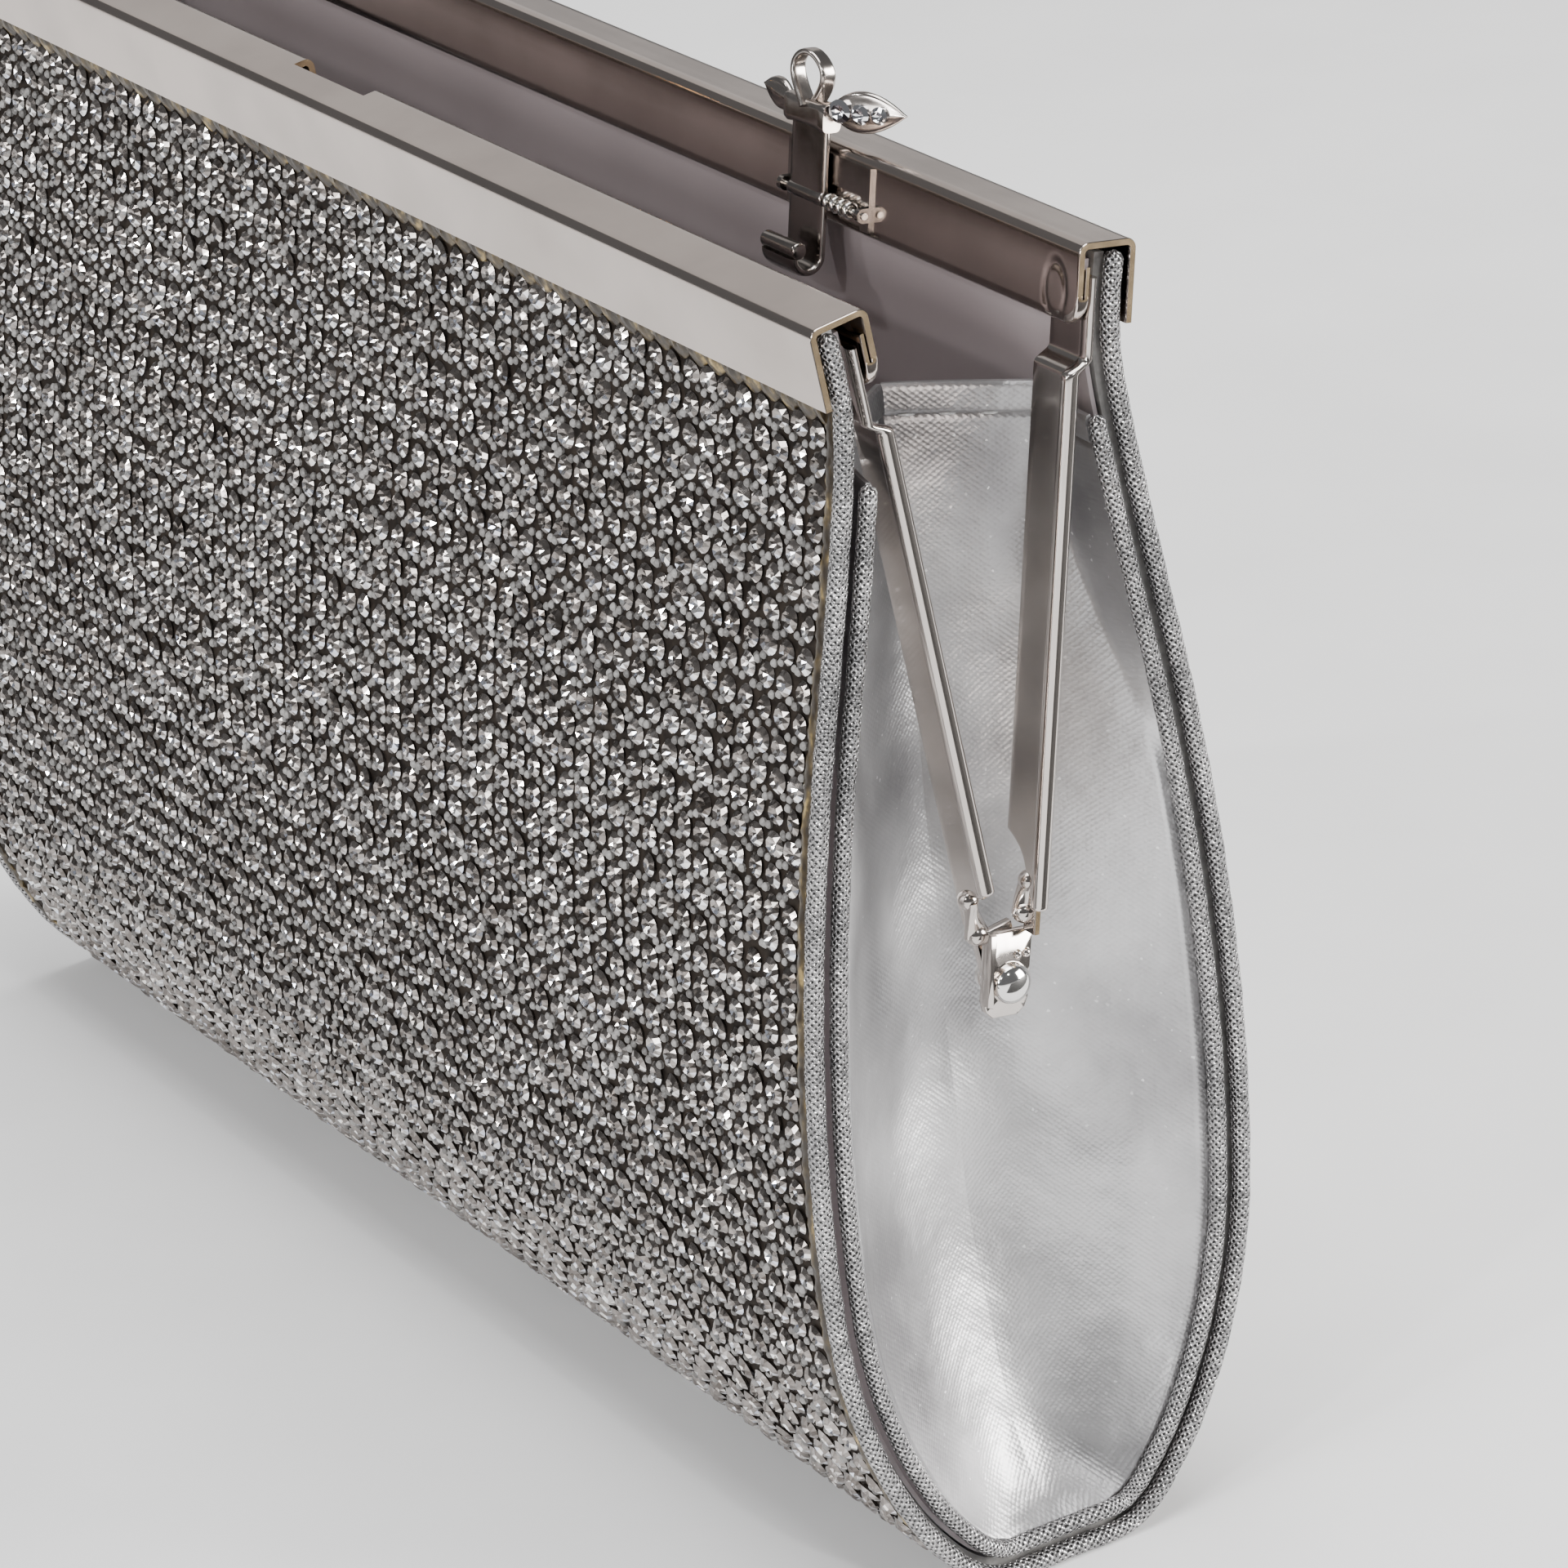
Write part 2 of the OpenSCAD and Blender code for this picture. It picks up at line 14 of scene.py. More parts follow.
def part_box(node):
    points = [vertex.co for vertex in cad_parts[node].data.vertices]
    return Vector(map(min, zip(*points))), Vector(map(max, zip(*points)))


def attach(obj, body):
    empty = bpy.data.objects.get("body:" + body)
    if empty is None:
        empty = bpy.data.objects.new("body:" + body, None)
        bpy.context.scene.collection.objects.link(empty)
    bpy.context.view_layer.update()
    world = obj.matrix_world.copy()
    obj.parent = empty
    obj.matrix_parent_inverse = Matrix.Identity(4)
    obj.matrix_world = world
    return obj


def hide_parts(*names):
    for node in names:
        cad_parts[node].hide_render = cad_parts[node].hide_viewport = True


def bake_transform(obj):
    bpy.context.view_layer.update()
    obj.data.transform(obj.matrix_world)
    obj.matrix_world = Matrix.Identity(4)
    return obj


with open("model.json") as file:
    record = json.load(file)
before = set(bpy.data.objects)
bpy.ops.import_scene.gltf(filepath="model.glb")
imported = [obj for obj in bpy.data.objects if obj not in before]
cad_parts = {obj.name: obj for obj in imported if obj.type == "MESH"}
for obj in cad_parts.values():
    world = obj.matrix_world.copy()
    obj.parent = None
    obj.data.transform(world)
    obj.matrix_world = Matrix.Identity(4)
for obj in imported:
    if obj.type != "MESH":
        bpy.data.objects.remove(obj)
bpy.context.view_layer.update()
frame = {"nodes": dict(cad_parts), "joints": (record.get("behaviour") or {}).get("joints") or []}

MM = 0.001
SHARP = math.radians(48)
rng = np.random.default_rng(7)

# -------- sizes from the frame
joints = {j["name"]: j for j in frame["joints"]}
PIVOT_Z = joints["front_hinge"]["pos_m"][2] / MM
OPEN = math.radians(joints["front_hinge"]["range_deg"][1])
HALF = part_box("front_rail")[1][0] / MM
PANEL_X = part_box("wrap_base")[1][0] / MM
BINDING_X = HALF - 0.6
BINDING_R = 0.84
INNER_BINDING_R = 0.78
INNER_BINDING_D = -2.42  # from the panel's line; negative is inside the bag
CLASP_X = joints["clasp_pivot"]["pos_m"][0] / MM

RAIL_GAP = 1.0  # from the middle plane to the shut rail
RAIL_W = 5.6
RAIL_LEG = 7.2
RAIL_TOP = 64.6
SHEET = 0.6
NOTCH_HALF = 6.5
CORNER_R = 2.2
LOW = -54.3  # the panel's line under the base
BLEND_LOW = -20.0
BLEND_HIGH = 57.4


def opened(n, z):
    """A point of the shut half, swung to its open place."""
    c, s = math.cos(OPEN), math.sin(OPEN)
    return n * c + z * s, z * c - n * s


# -------- the panel's line
CHANNEL_N = RAIL_GAP + RAIL_W - SHEET - 1.2
KEYS = [
    opened(CHANNEL_N, RAIL_TOP - 1.0), opened(CHANNEL_N, RAIL_TOP - RAIL_LEG),
    (13.3, 50.5), (14.6, 42), (16.2, 33), (18.2, 22), (20.1, 8), (21.1, -5), (21.25, -17),
    (20.5, -28.5), (18.2, -38), (14.6, -46), (10.8, -51.3), (8.1, -53.6), (5.8, LOW), (2.9, LOW),
    (0, LOW),
]


def smooth_curve(keys, steps):
    """Catmull-Rom curve through the keys."""
    k = np.array([keys[0], *keys, keys[-1]], float)
    t = np.linspace(0, 1, steps, endpoint=False)[:, None]
    spans = [
        0.5 * (2 * p + (q - a) * t + (2 * a - 5 * p + 4 * q - r) * t**2
               + (3 * p - a - 3 * q + r) * t**3)
        for a, p, q, r in zip(k, k[1:], k[2:], k[3:])
    ]
    return np.concatenate([*spans, k[-1:]])


LINE = smooth_curve(KEYS, 24)
LINE_S = np.concatenate([[0], np.cumsum(np.linalg.norm(np.diff(LINE, axis=0), axis=1))])
LENGTH = LINE_S[-1]
LINE_T = np.gradient(LINE, LINE_S, axis=0)
LINE_T /= np.linalg.norm(LINE_T, axis=1)[:, None]
LINE_T[-1] = (-1, 0)


def line_frame(s):
    """Directions down the line and out of it, as (n, z), at lengths s."""
    t = np.stack([np.interp(s, LINE_S, LINE_T[:, k]) for k in (0, 1)], -1)
    t /= np.linalg.norm(t, axis=-1, keepdims=True)
    return t, np.stack([-t[..., 1], t[..., 0]], -1)


def on_line(s, d=0.0):
    """(n, z) at a length s down the panel's line, and d outside it."""
    s = np.asarray(s, float)
    p = np.stack([np.interp(s, LINE_S, LINE[:, k]) for k in (0, 1)], -1)
    return p + np.asarray(d)[..., None] * line_frame(s)[1]


LEG_S = float(np.linalg.norm(np.subtract(KEYS[1], KEYS[0])))
INNER = on_line(LINE_S, -2.9)


def inner_half(z):
    """Half width inside the gusset's binding, at a height above the rivets."""
    order = np.argsort(INNER[:, 1])
    return np.interp(z, INNER[order, 1], INNER[order, 0])


# -------- mesh helpers
def step(t):
    """Smooth rise from 0 to 1 as t goes from 0 to 1."""
    t = np.clip(t, 0, 1)
    return t * t * (3 - 2 * t)


def circle(count, turn=0):
    """Angles evenly round a circle, turned by a share of one step."""
    return 2 * math.pi * (np.arange(count) + turn) / count


def faced_out(points, faces, middle=0):
    """Faces as a list of arrays, turned over if the shape that they close is inside out."""
    groups = [np.asarray(f, int) for f in (faces if isinstance(faces, list) else [faces])]
    tri = np.concatenate([g[:, [0, k, k + 1]] for g in groups for k in range(1, g.shape[1] - 1)])
    a, b, c = (points[tri[:, k]] - middle for k in range(3))
    flip = (np.cross(a, b) * c).sum() < 0
    return [g[:, ::-1] if flip else g for g in groups]


def add_piece(name, points, faces, materials, smooth=True, mat_index=None, tone=None, uv=None):
    """A mesh object from points in mm, (x, y, height above the rivets), and arrays of faces."""
    points = np.asarray(points, float).reshape(-1, 3)
    groups = faced_out(points, faces)
    loops = np.concatenate([g.ravel() for g in groups])
    counts = np.concatenate([np.full(len(g), g.shape[1]) for g in groups])
    mesh = bpy.data.meshes.new(name)
    mesh.vertices.add(len(points))
    mesh.vertices.foreach_set("co", ((points + [0, 0, PIVOT_Z]) * MM).ravel())
    mesh.loops.add(len(loops))
    mesh.loops.foreach_set("vertex_index", loops)
    mesh.polygons.add(len(counts))
    mesh.polygons.foreach_set("loop_start", np.concatenate([[0], np.cumsum(counts)[:-1]]))
    if mat_index is not None:
        mesh.polygons.foreach_set("material_index", np.asarray(mat_index, int))
    mesh.polygons.foreach_set("use_smooth", np.full(len(counts), smooth))
    mesh.update(calc_edges=True)
    if tone is not None:
        domain = "FACE" if len(tone) == len(counts) else "POINT"
        layer = mesh.attributes.new("tone", "FLOAT", domain)
        layer.data.foreach_set("value", np.asarray(tone, np.float32))
    if uv is not None:
        layer = mesh.uv_layers.new(name="grain")
        layer.data.foreach_set("uv", np.asarray(uv, float)[loops].ravel())
    if smooth:
        mesh.set_sharp_from_angle(angle=SHARP)
    for m in materials if isinstance(materials, (list, tuple)) else [materials]:
        mesh.materials.append(m)
    obj = bpy.data.objects.new(name, mesh)
    bpy.context.scene.collection.objects.link(obj)
    return obj


def quads(rows, cols, wrap=False):
    """Faces of a grid of rows by cols points."""
    i, j = np.meshgrid(np.arange(rows - 1), np.arange(cols if wrap else cols - 1), indexing="ij")
    k = (j + 1) % cols
    return np.stack([i * cols + j, i * cols + k, (i + 1) * cols + k, (i + 1) * cols + j], -1)


def closed_sheet(top, bottom, keep=None):
    """Points and faces of a sheet between two grids of points; keep masks its cells."""
    rows, cols = top.shape[:2]
    q = quads(rows, cols)
    q = q[keep] if keep is not None else q.reshape(-1, 4)
    m = rows * cols
    edges = np.concatenate([q[:, [k, (k + 1) % 4]] for k in range(4)])
    code, back = edges[:, 0] * m + edges[:, 1], edges[:, 1] * m + edges[:, 0]
    rim = edges[~np.isin(code, back)]
    sides = np.stack([rim[:, 1], rim[:, 0], rim[:, 0] + m, rim[:, 1] + m], -1)
    points = np.concatenate([top.reshape(-1, 3), bottom.reshape(-1, 3)])
    return points, np.concatenate([q, q[:, ::-1] + m, sides]), len(q)


def loft(rings):
    """Points and faces through closed rings of points, with both ends filled."""
    rows, cols = rings.shape[:2]
    points = np.concatenate([rings.reshape(-1, 3), rings[0].mean(0)[None], rings[-1].mean(0)[None]])
    j = np.arange(cols)
    k = (j + 1) % cols
    first = np.stack([k, j, np.full(cols, rows * cols)], -1)
    low = (rows - 1) * cols
    last = np.stack([j + low, k + low, np.full(cols, rows * cols + 1)], -1)
    return points, [quads(rows, cols, True).reshape(-1, 4), first, last]


def mirrored(points, sx=1, sy=1):
    return np.asarray(points) * [sx, sy, 1]


def swung(points, sy=1):
    """Points of the shut rear half, opened; sy of -1 gives the front half."""
    p = np.array(points, float)
    y, z = opened(p[..., 1], p[..., 2])
    return np.stack([p[..., 0], sy * y, z], -1)


def bend_with(obj):
    """Bakes the piece's placement into its mesh points; nothing here makes it bend."""
    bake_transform(obj)


class Parts:
    """Closed shapes gathered into one mesh; each has a material index."""

    def __init__(self):
        self.points, self.faces, self.index, self.size = [], [], [], 0

    def add(self, points, faces, index=0):
        points = np.asarray(points, float).reshape(-1, 3)
        for g in faced_out(points, faces, points.mean(0)):
            self.faces.append(g + self.size)
            self.index.append(index if np.ndim(index) else np.full(len(g), index))
        self.points.append(points)
        self.size += len(points)

    def make(self, name, materials, change=lambda p: p, smooth=True):
        points = change(np.concatenate(self.points))
        order = {}
        for f, i in zip(self.faces, self.index):
            order.setdefault(f.shape[1], []).append((f, i))
        faces = [np.concatenate([f for f, _ in group]) for group in order.values()]
        index = np.concatenate([i for group in order.values() for _, i in group])
        return add_piece(name, points, faces, materials, smooth, mat_index=index)


SIDES = (("front", -1), ("rear", 1))
ENDS = (("right", 1), ("left", -1))


# -------- materials
class Nodes:
    """A new material with a Principled shader, and short calls to wire nodes to it."""

    def __init__(self, name, color=(0.8, 0.8, 0.8), metal=0.0, rough=0.5, **sockets):
        self.material = bpy.data.materials.new(name)
        self.material.use_nodes = True
        self.tree = self.material.node_tree
        self.shader = self.tree.nodes["Principled BSDF"]
        self.set(Base_Color=(*color, 1), Metallic=metal, Roughness=rough, **sockets)

    def set(self, **sockets):
        for key, value in sockets.items():
            self.shader.inputs[key.replace("_", " ")].default_value = value

    def add(self, kind, **values):
        node = self.tree.nodes.new("ShaderNode" + kind)
        for key, value in values.items():
            setattr(node, key, value)
        return node

    def link(self, a, b):
        self.tree.links.new(a, b)

    def coords(self, scale=(1, 1, 1), turn=0.0, uv=None):
        source = self.add("UVMap", uv_map=uv).outputs[0] if uv else self.add("TexCoord").outputs["Object"]
        place = self.add("Mapping")
        place.inputs["Scale"].default_value = scale
        place.inputs["Rotation"].default_value = (0, 0, turn)
        self.link(source, place.inputs["Vector"])
        return place.outputs[0]

    def noise(self, scale, detail=3.0, at=None):
        node = self.add("TexNoise")
        node.inputs["Scale"].default_value = scale
        node.inputs["Detail"].default_value = detail
        self.link(at or self.coords(), node.inputs["Vector"])
        return node.outputs["Fac"]

    def cells(self, scale, randomness=1.0, at=None):
        """Distance to each cell's middle, and each cell's own random colour."""
        node = self.add("TexVoronoi", voronoi_dimensions="2D" if at else "3D")
        node.inputs["Scale"].default_value = scale
        node.inputs["Randomness"].default_value = randomness
        self.link(at or self.coords(), node.inputs["Vector"])
        return node.outputs["Distance"], node.outputs["Color"]

    def ramp(self, fac, stops, interpolation="LINEAR"):
        node = self.add("ValToRGB")
        node.color_ramp.interpolation = interpolation
        ends = node.color_ramp.elements
        while len(ends) < len(stops):
            ends.new(0.5)
        for end, (position, color) in zip(ends, stops):
            end.position = position
            end.color = (*color, 1) if len(np.shape(color)) else (color, color, color, 1)
        self.link(fac, node.inputs["Fac"])
        return node.outputs["Color"]

    def mix(self, fac, a, b, blend="MIX"):
        node = self.add("Mix", data_type="RGBA", blend_type=blend)
        for value, socket in ((fac, 0), (a, 6), (b, 7)):
            if isinstance(value, bpy.types.NodeSocket):
                self.link(value, node.inputs[socket])
            elif socket:
                node.inputs[socket].default_value = (*value, 1)
            else:
                node.inputs[socket].default_value = value
        return node.outputs[2]

    def times(self, a, b):
        node = self.add("Math", operation="MULTIPLY")
        self.link(a, node.inputs[0])
        self.link(b, node.inputs[1])
        return node.outputs[0]

    def tone(self):
        return self.add("Attribute", attribute_name="tone").outputs["Fac"]

    def color(self, socket):
        self.link(socket, self.shader.inputs["Base Color"])

    def rough(self, fac, low, high):
        node = self.add("MapRange")
        node.inputs["To Min"].default_value = low
        node.inputs["To Max"].default_value = high
        self.link(fac, node.inputs["Value"])
        self.link(node.outputs["Result"], self.shader.inputs["Roughness"])

    def bump(self, *layers):
        """Layers of (height, distance in mm, strength), one on another."""
        below = None
        for height, distance, strength in layers:
            node = self.add("Bump")
            node.inputs["Distance"].default_value = distance * MM
            node.inputs["Strength"].default_value = strength
            self.link(height, node.inputs["Height"])
            if below:
                self.link(below, node.inputs["Normal"])
            below = node.outputs[0]
        self.link(below, self.shader.inputs["Normal"])


def nickel(name, color, rough=(0.10, 0.22), streak=(1, 1, 1)):
    """Plated metal with faint polishing streaks and haze."""
    m = Nodes(name, color, metal=1.0)
    haze = m.noise(90, 4)
    streaks = m.noise(900, 3, m.coords(streak))
    dark = tuple(0.82 * c for c in color)
    m.color(m.mix(m.ramp(haze, [(0.35, 0), (0.75, 1)]), color, dark))
    m.rough(m.times(haze, streaks), rough[0], 2.5 * rough[1])
    m.bump((streaks, 0.004, 0.25))
    return m.material


def binding_leather():
    """Silver leatherette: a staggered grid of pin-holes, painted dark as shade, between small shiny pebbles.
    """
    m = Nodes("binding_leather", metal=0.85, rough=0.3)
    hole, _ = m.cells(2.2, 0.12, m.coords((1, 1, 1), math.radians(45), "grain"))
    pebble, shade = m.cells(4.4, 0.8, m.coords((1, 1, 1), math.radians(20), "grain"))
    glitter, glint = m.cells(2600, 1.0)
    silver = m.ramp(m.noise(160, 3), [(0.3, (0.42, 0.415, 0.42)), (0.7, (0.80, 0.78, 0.78))])
    speck = m.ramp(shade, [(0.0, 0.22), (0.5, 0.62), (0.85, 1.0)])
    silver = m.mix(0.9, silver, speck, "MULTIPLY")
    # The pin-holes are painted near black: painted shade inside the holes
    m.color(m.mix(m.ramp(hole, [(0.17, 1), (0.33, 0)]), silver, (0.02, 0.02, 0.02)))
    m.rough(glint, 0.09, 0.34)
    m.bump((m.ramp(hole, [(0.10, 0), (0.48, 1)]), 0.22, 1.0), (pebble, 0.06, 0.8), (glitter, 0.012, 0.4))
    return m.material


def gusset_leather():
    """Silver satin leatherette: fine crossed grain, soft patches that are partly uneven tone and partly
    painted highlights, and white glitter specks that are partly glitter and partly painted sparkle.
    """
    m = Nodes("gusset_leather", metal=0.9, rough=0.3)
    at = m.coords((1, 1, 1), math.radians(45), "grain")
    weave, _ = m.cells(2.6, 0.15, at)
    cloud = m.noise(45, 7)
    glitter, glint = m.cells(4500, 1.0)
    # The cloud's darker and lighter patches are partly uneven tone and partly painted highlights; the white
    # specks are partly glitter and partly painted sparkle
    silver = m.ramp(cloud, [(0.36, (0.25, 0.245, 0.25)), (0.64, (0.62, 0.615, 0.62))])
    m.color(m.mix(m.ramp(glint, [(0.93, 0), (0.97, 0.6)]), silver, (1, 1, 1)))
    m.rough(cloud, 0.26, 0.50)
    m.bump((m.noise(90, 4), 0.9, 0.6), (m.noise(480, 5), 0.12, 0.7), (weave, 0.07, 0.45),
           (glitter, 0.010, 0.35))
    return m.material


def lining_satin():
    """Rosy grey satin: faint broad shading and fine threads along the bag."""
    m = Nodes("lining_satin", rough=0.42, Sheen_Weight=0.35, Sheen_Roughness=0.4, Specular_IOR_Level=0.6)
    cloud = m.noise(28, 3)
    m.color(m.ramp(cloud, [(0.25, (0.36, 0.31, 0.32)), (0.75, (0.50, 0.44, 0.45))]))
    thread = m.noise(1400, 2, m.coords((0.12, 1, 1)))
    m.bump((cloud, 1.2, 0.25), (thread, 0.03, 0.4))
    return m.material


def crystal():
    """Foiled stones: each facet has its own tone, from smoky painted shade to bright painted highlight, with
    bluish and warm white painted glints.
    """
    m = Nodes("crystal", metal=0.92, rough=0.07, Coat_Weight=0.4, Coat_Roughness=0.03)
    # Low tones are painted shade; high tones are painted highlights and coloured painted glints
    m.color(m.ramp(m.tone(), [
        (0.0, (0.09, 0.075, 0.065)), (0.42, (0.34, 0.31, 0.29)), (0.60, (0.68, 0.65, 0.64)),
        (0.72, (0.80, 0.85, 1.0)), (0.84, (1.0, 0.93, 0.85)), (0.95, (1.0, 1.0, 1.0))]))
    m.rough(m.noise(700, 2), 0.03, 0.16)
    return m.material


def bead_grey():
    """Grey beads of slightly different tones."""
    m = Nodes("bead_grey", rough=0.38, Specular_IOR_Level=0.5)
    m.color(m.ramp(m.tone(), [(0.0, (0.10, 0.095, 0.09)), (1.0, (0.30, 0.29, 0.28))]))
    m.rough(m.noise(900, 2), 0.28, 0.5)
    return m.material


def plain(name, dark, light, rough=0.7, scale=300, bump=0.05, **sockets):
    """A dull surface with a fine grain between two tones."""
    m = Nodes(name, rough=rough, **sockets)
    grain = m.noise(scale, 5)
    m.color(m.ramp(grain, [(0.3, dark), (0.7, light)]))
    m.bump((grain, bump, 0.6))
    return m.material


def glue_film():
    """Brown glue with yellow streaks that are partly its own colour and partly painted glints, slightly shiny
    and uneven.
    """
    m = Nodes("glue_film", rough=0.32, Coat_Weight=0.1, Coat_Roughness=0.12, Specular_IOR_Level=0.4)
    tint_and_glints = m.noise(900, 4, m.coords((1, 1, 0.45)))
    # The yellow streaks are partly the glue's own colour and partly painted glints
    m.color(m.ramp(tint_and_glints, [(0.42, (0.022, 0.015, 0.008)), (0.58, (0.070, 0.050, 0.022)),
                          (0.72, (0.36, 0.26, 0.10))]))
    m.bump((tint_and_glints, 0.16, 1.0))
    return m.material


RAIL = nickel("rail_nickel", (0.60, 0.53, 0.485), (0.07, 0.15), (0.04, 1, 1))
RAIL_EDGE = nickel("rail_edge", (1.0, 0.76, 0.48), (0.10, 0.22))
ARM = nickel("arm_nickel", (0.61, 0.56, 0.525), (0.06, 0.13), (1, 1, 0.04))
RIVET = nickel("rivet_nickel", (0.84, 0.82, 0.80), (0.05, 0.1))
CLASP = nickel("clasp_nickel", (0.33, 0.30, 0.28), (0.09, 0.2))
SPRING = nickel("spring_steel", (0.85, 0.82, 0.78), (0.08, 0.15))
BINDING = binding_leather()
GUSSET = gusset_leather()
SATIN = lining_satin()
CRYSTAL = crystal()
BEAD = bead_grey()
GROUND = plain("ground_net", (0.008, 0.006, 0.005), (0.030, 0.023, 0.018), 0.7, 800, 0.05,
               Specular_IOR_Level=0.1)
BOARD = plain("grey_board", (0.20, 0.195, 0.19), (0.33, 0.32, 0.31), 0.8, 900, 0.04)
THREAD = plain("silver_thread", (0.45, 0.45, 0.45), (0.75, 0.75, 0.75), 0.5, 2500, 0.03, metal=0.5)
GLUE = glue_film()


# -------- panels: ground, board, lining
def panel(name, sy, d_out, d_in, x, s0, material, ripple=0.0):
    """A sheet that follows one half of the panel's line, from length s0 to the base."""
    s = np.linspace(s0, LENGTH, 110)
    xs = np.linspace(-x, x, 90)
    layers = []
    for d in (d_out, d_in):
        wave = np.sin(0.21 * xs[None] + 0.6 * np.sin(0.09 * s[:, None])) * np.sin(0.045 * s[:, None] + 1)
        wave = ripple * wave
        line = on_line(np.repeat(s[:, None], len(xs), 1), d + wave)
        grid = np.concatenate([np.broadcast_to(xs, wave.shape)[..., None], line], -1)
        layers.append(mirrored(grid, 1, sy))
    points, faces, _ = closed_sheet(*layers)
    uv = np.concatenate([np.stack(np.meshgrid(xs, s), -1).reshape(-1, 2)] * 2)
    obj = add_piece(name, points, faces, material, uv=uv)
    bend_with(obj)
    return obj


for side, sy in SIDES:
    cloth = panel(f"{side}_stone_cloth", sy, 0.30, -0.05, PANEL_X, 0.4, GROUND)
    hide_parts(f"wrap_{side}", "wrap_base")
    board = panel(f"{side}_stiffener", sy, -0.2, -1.15, PANEL_X - 0.1, 0.4, BOARD)
    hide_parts(f"{side}_board", "base_board")
    satin = panel(f"{side}_lining", sy, -1.35, -1.75, PANEL_X - 0.4, 1.0, SATIN, ripple=0.08)
    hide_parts("lining")

# -------- stones and beads
PITCH_X = 2.8
STONE_R = 1.13
FIRST_S = LEG_S + 3.25
FIRST_X = PANEL_X - 2.1
ROWS = round(2 * (LENGTH - FIRST_S) / 2.76)
PITCH_S = 2 * (LENGTH - FIRST_S) / ROWS
COLUMNS = int(2 * FIRST_X / PITCH_X) + 1


def ring_points(count, radius, height, turn=0.0):
    a = circle(count, turn)
    return np.stack([radius * np.cos(a), radius * np.sin(a), np.full(count, height)], -1)


def stone_shape(r=STONE_R):
    """A round brilliant seen from above: crown facets, and the foiled cone seen through its table."""
    points = np.concatenate([
        ring_points(16, r, 0.40), ring_points(8, 0.62 * r, 0.74), ring_points(8, 0.80 * r, -0.05),
        ring_points(8, 0.36 * r, 0.50, 0.5), [[0.05, -0.08, 0.22]], [[0, 0, -0.05]],
    ])
    girdle, table, base, middle, culet, floor = 0, 16, 24, 32, 40, 41
    faces = []
    for k in range(8):
        n = (k + 1) % 8
        g = [girdle + (2 * k + j) % 16 for j in range(3)]
        faces += [(g[0], g[1], table + k), (table + k, g[1], table + n), (g[1], g[2], table + n)]
        faces += [(table + k, table + n, middle + k), (middle + k, table + n, middle + n)]
        faces += [(middle + k, middle + n, culet)]
        faces += [(g[1], g[0], base + k), (g[1], base + k, base + n), (g[2], g[1], base + n)]
        faces += [(base + n, base + k, floor)]
    return points, np.array(faces)


def bead_shape(r=0.42):
    """A round bead; its underside, sunk in the net, is left open."""
    points = np.concatenate([
        ring_points(8, 0.92 * r, -0.3 * r), ring_points(8, r * 0.94, 0.34 * r, 0.5),
        ring_points(8, 0.56 * r, 0.83 * r), [[0, 0, r]],
    ])
    faces = [quads(3, 8, True).reshape(-1, 4)[:, [0, 1, 2]], quads(3, 8, True).reshape(-1, 4)[:, [0, 2, 3]],
             np.array([(16 + k, 16 + (k + 1) % 8, 24) for k in range(8)])]
    return points, np.concatenate(faces)


def scatter(shape, x, s, lift, size, tilt, turn):
    """Copies of a shape stood on the panel's line at (x, s)."""
    points, faces = shape
    c, t = np.cos(turn)[:, None], np.sin(turn)[:, None]
    u = points[None, :, 0] * c - points[None, :, 1] * t
    v = points[None, :, 0] * t + points[None, :, 1] * c
    w = points[None, :, 2] + tilt[:, :1] * u + tilt[:, 1:] * v
    u, v, w = (a * size[:, None] for a in (u, v, w))
    down, out = line_frame(s)
    yz = on_line(s, lift)[:, None] + v[..., None] * down[:, None] + w[..., None] * out[:, None]
    placed = np.concatenate([(x[:, None] + u)[..., None], yz], -1).reshape(-1, 3)
    all_faces = (faces[None] + (np.arange(len(x)) * len(points))[:, None, None]).reshape(-1, 3)
    return placed, all_faces


def place_on_panels(name, shape, x, s, lift, size, tilt, turn, tones, material, smooth):
    """Four meshes: the front and rear halves, each split at the height BLEND_LOW; the upper part is baked in
    place and the lower part attached to the bag.
    """
    mid = LINE_S[np.searchsorted(-LINE[:, 1], -BLEND_LOW)]
    for side, sy in SIDES:
        mine = s <= LENGTH if sy < 0 else s > LENGTH
        length = np.where(s > LENGTH, 2 * LENGTH - s, s)
        for part, there in (("upper", length < mid), ("lower", length >= mid)):
            k = np.flatnonzero(mine & there)
            placed, faces = scatter(shape, x[k], length[k], lift[k], size[k], tilt[k], turn[k])
            obj = add_piece(f"{side}_{part}_{name}", mirrored(placed, 1, sy), faces, material, smooth,
                            tone=tones[k].ravel())
            if part == "upper":
                bend_with(obj)
            else:
                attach(obj, "bag")


ci, ri = np.meshgrid(np.arange(COLUMNS), np.arange(ROWS + 1))
ci, ri = ci.ravel(), ri.ravel()
count = len(ci)
stone_x = FIRST_X - PITCH_X * ci + rng.normal(0, 0.05, count)
stone_s = FIRST_S + PITCH_S * ri + 0.10 * np.sin(0.35 * ci) + rng.normal(0, 0.06, count)
shape = stone_shape()
stone_turn = rng.uniform(0, 2 * math.pi, count)
centre = shape[0][shape[1]].mean(1) / STONE_R
lower = np.sin(stone_turn)[:, None] * centre[None, :, 0] + np.cos(stone_turn)[:, None] * centre[None, :, 1]
# Foiled glass: facets in each stone's lower half get bright tones as a painted highlight, and those in its
# upper half smoky tones as painted shade, as if lit from above
painted_highlight_tone = rng.beta(0.7, 0.8, lower.shape)
painted_shade_tone = 0.12 + 0.30 * rng.uniform(size=lower.shape)
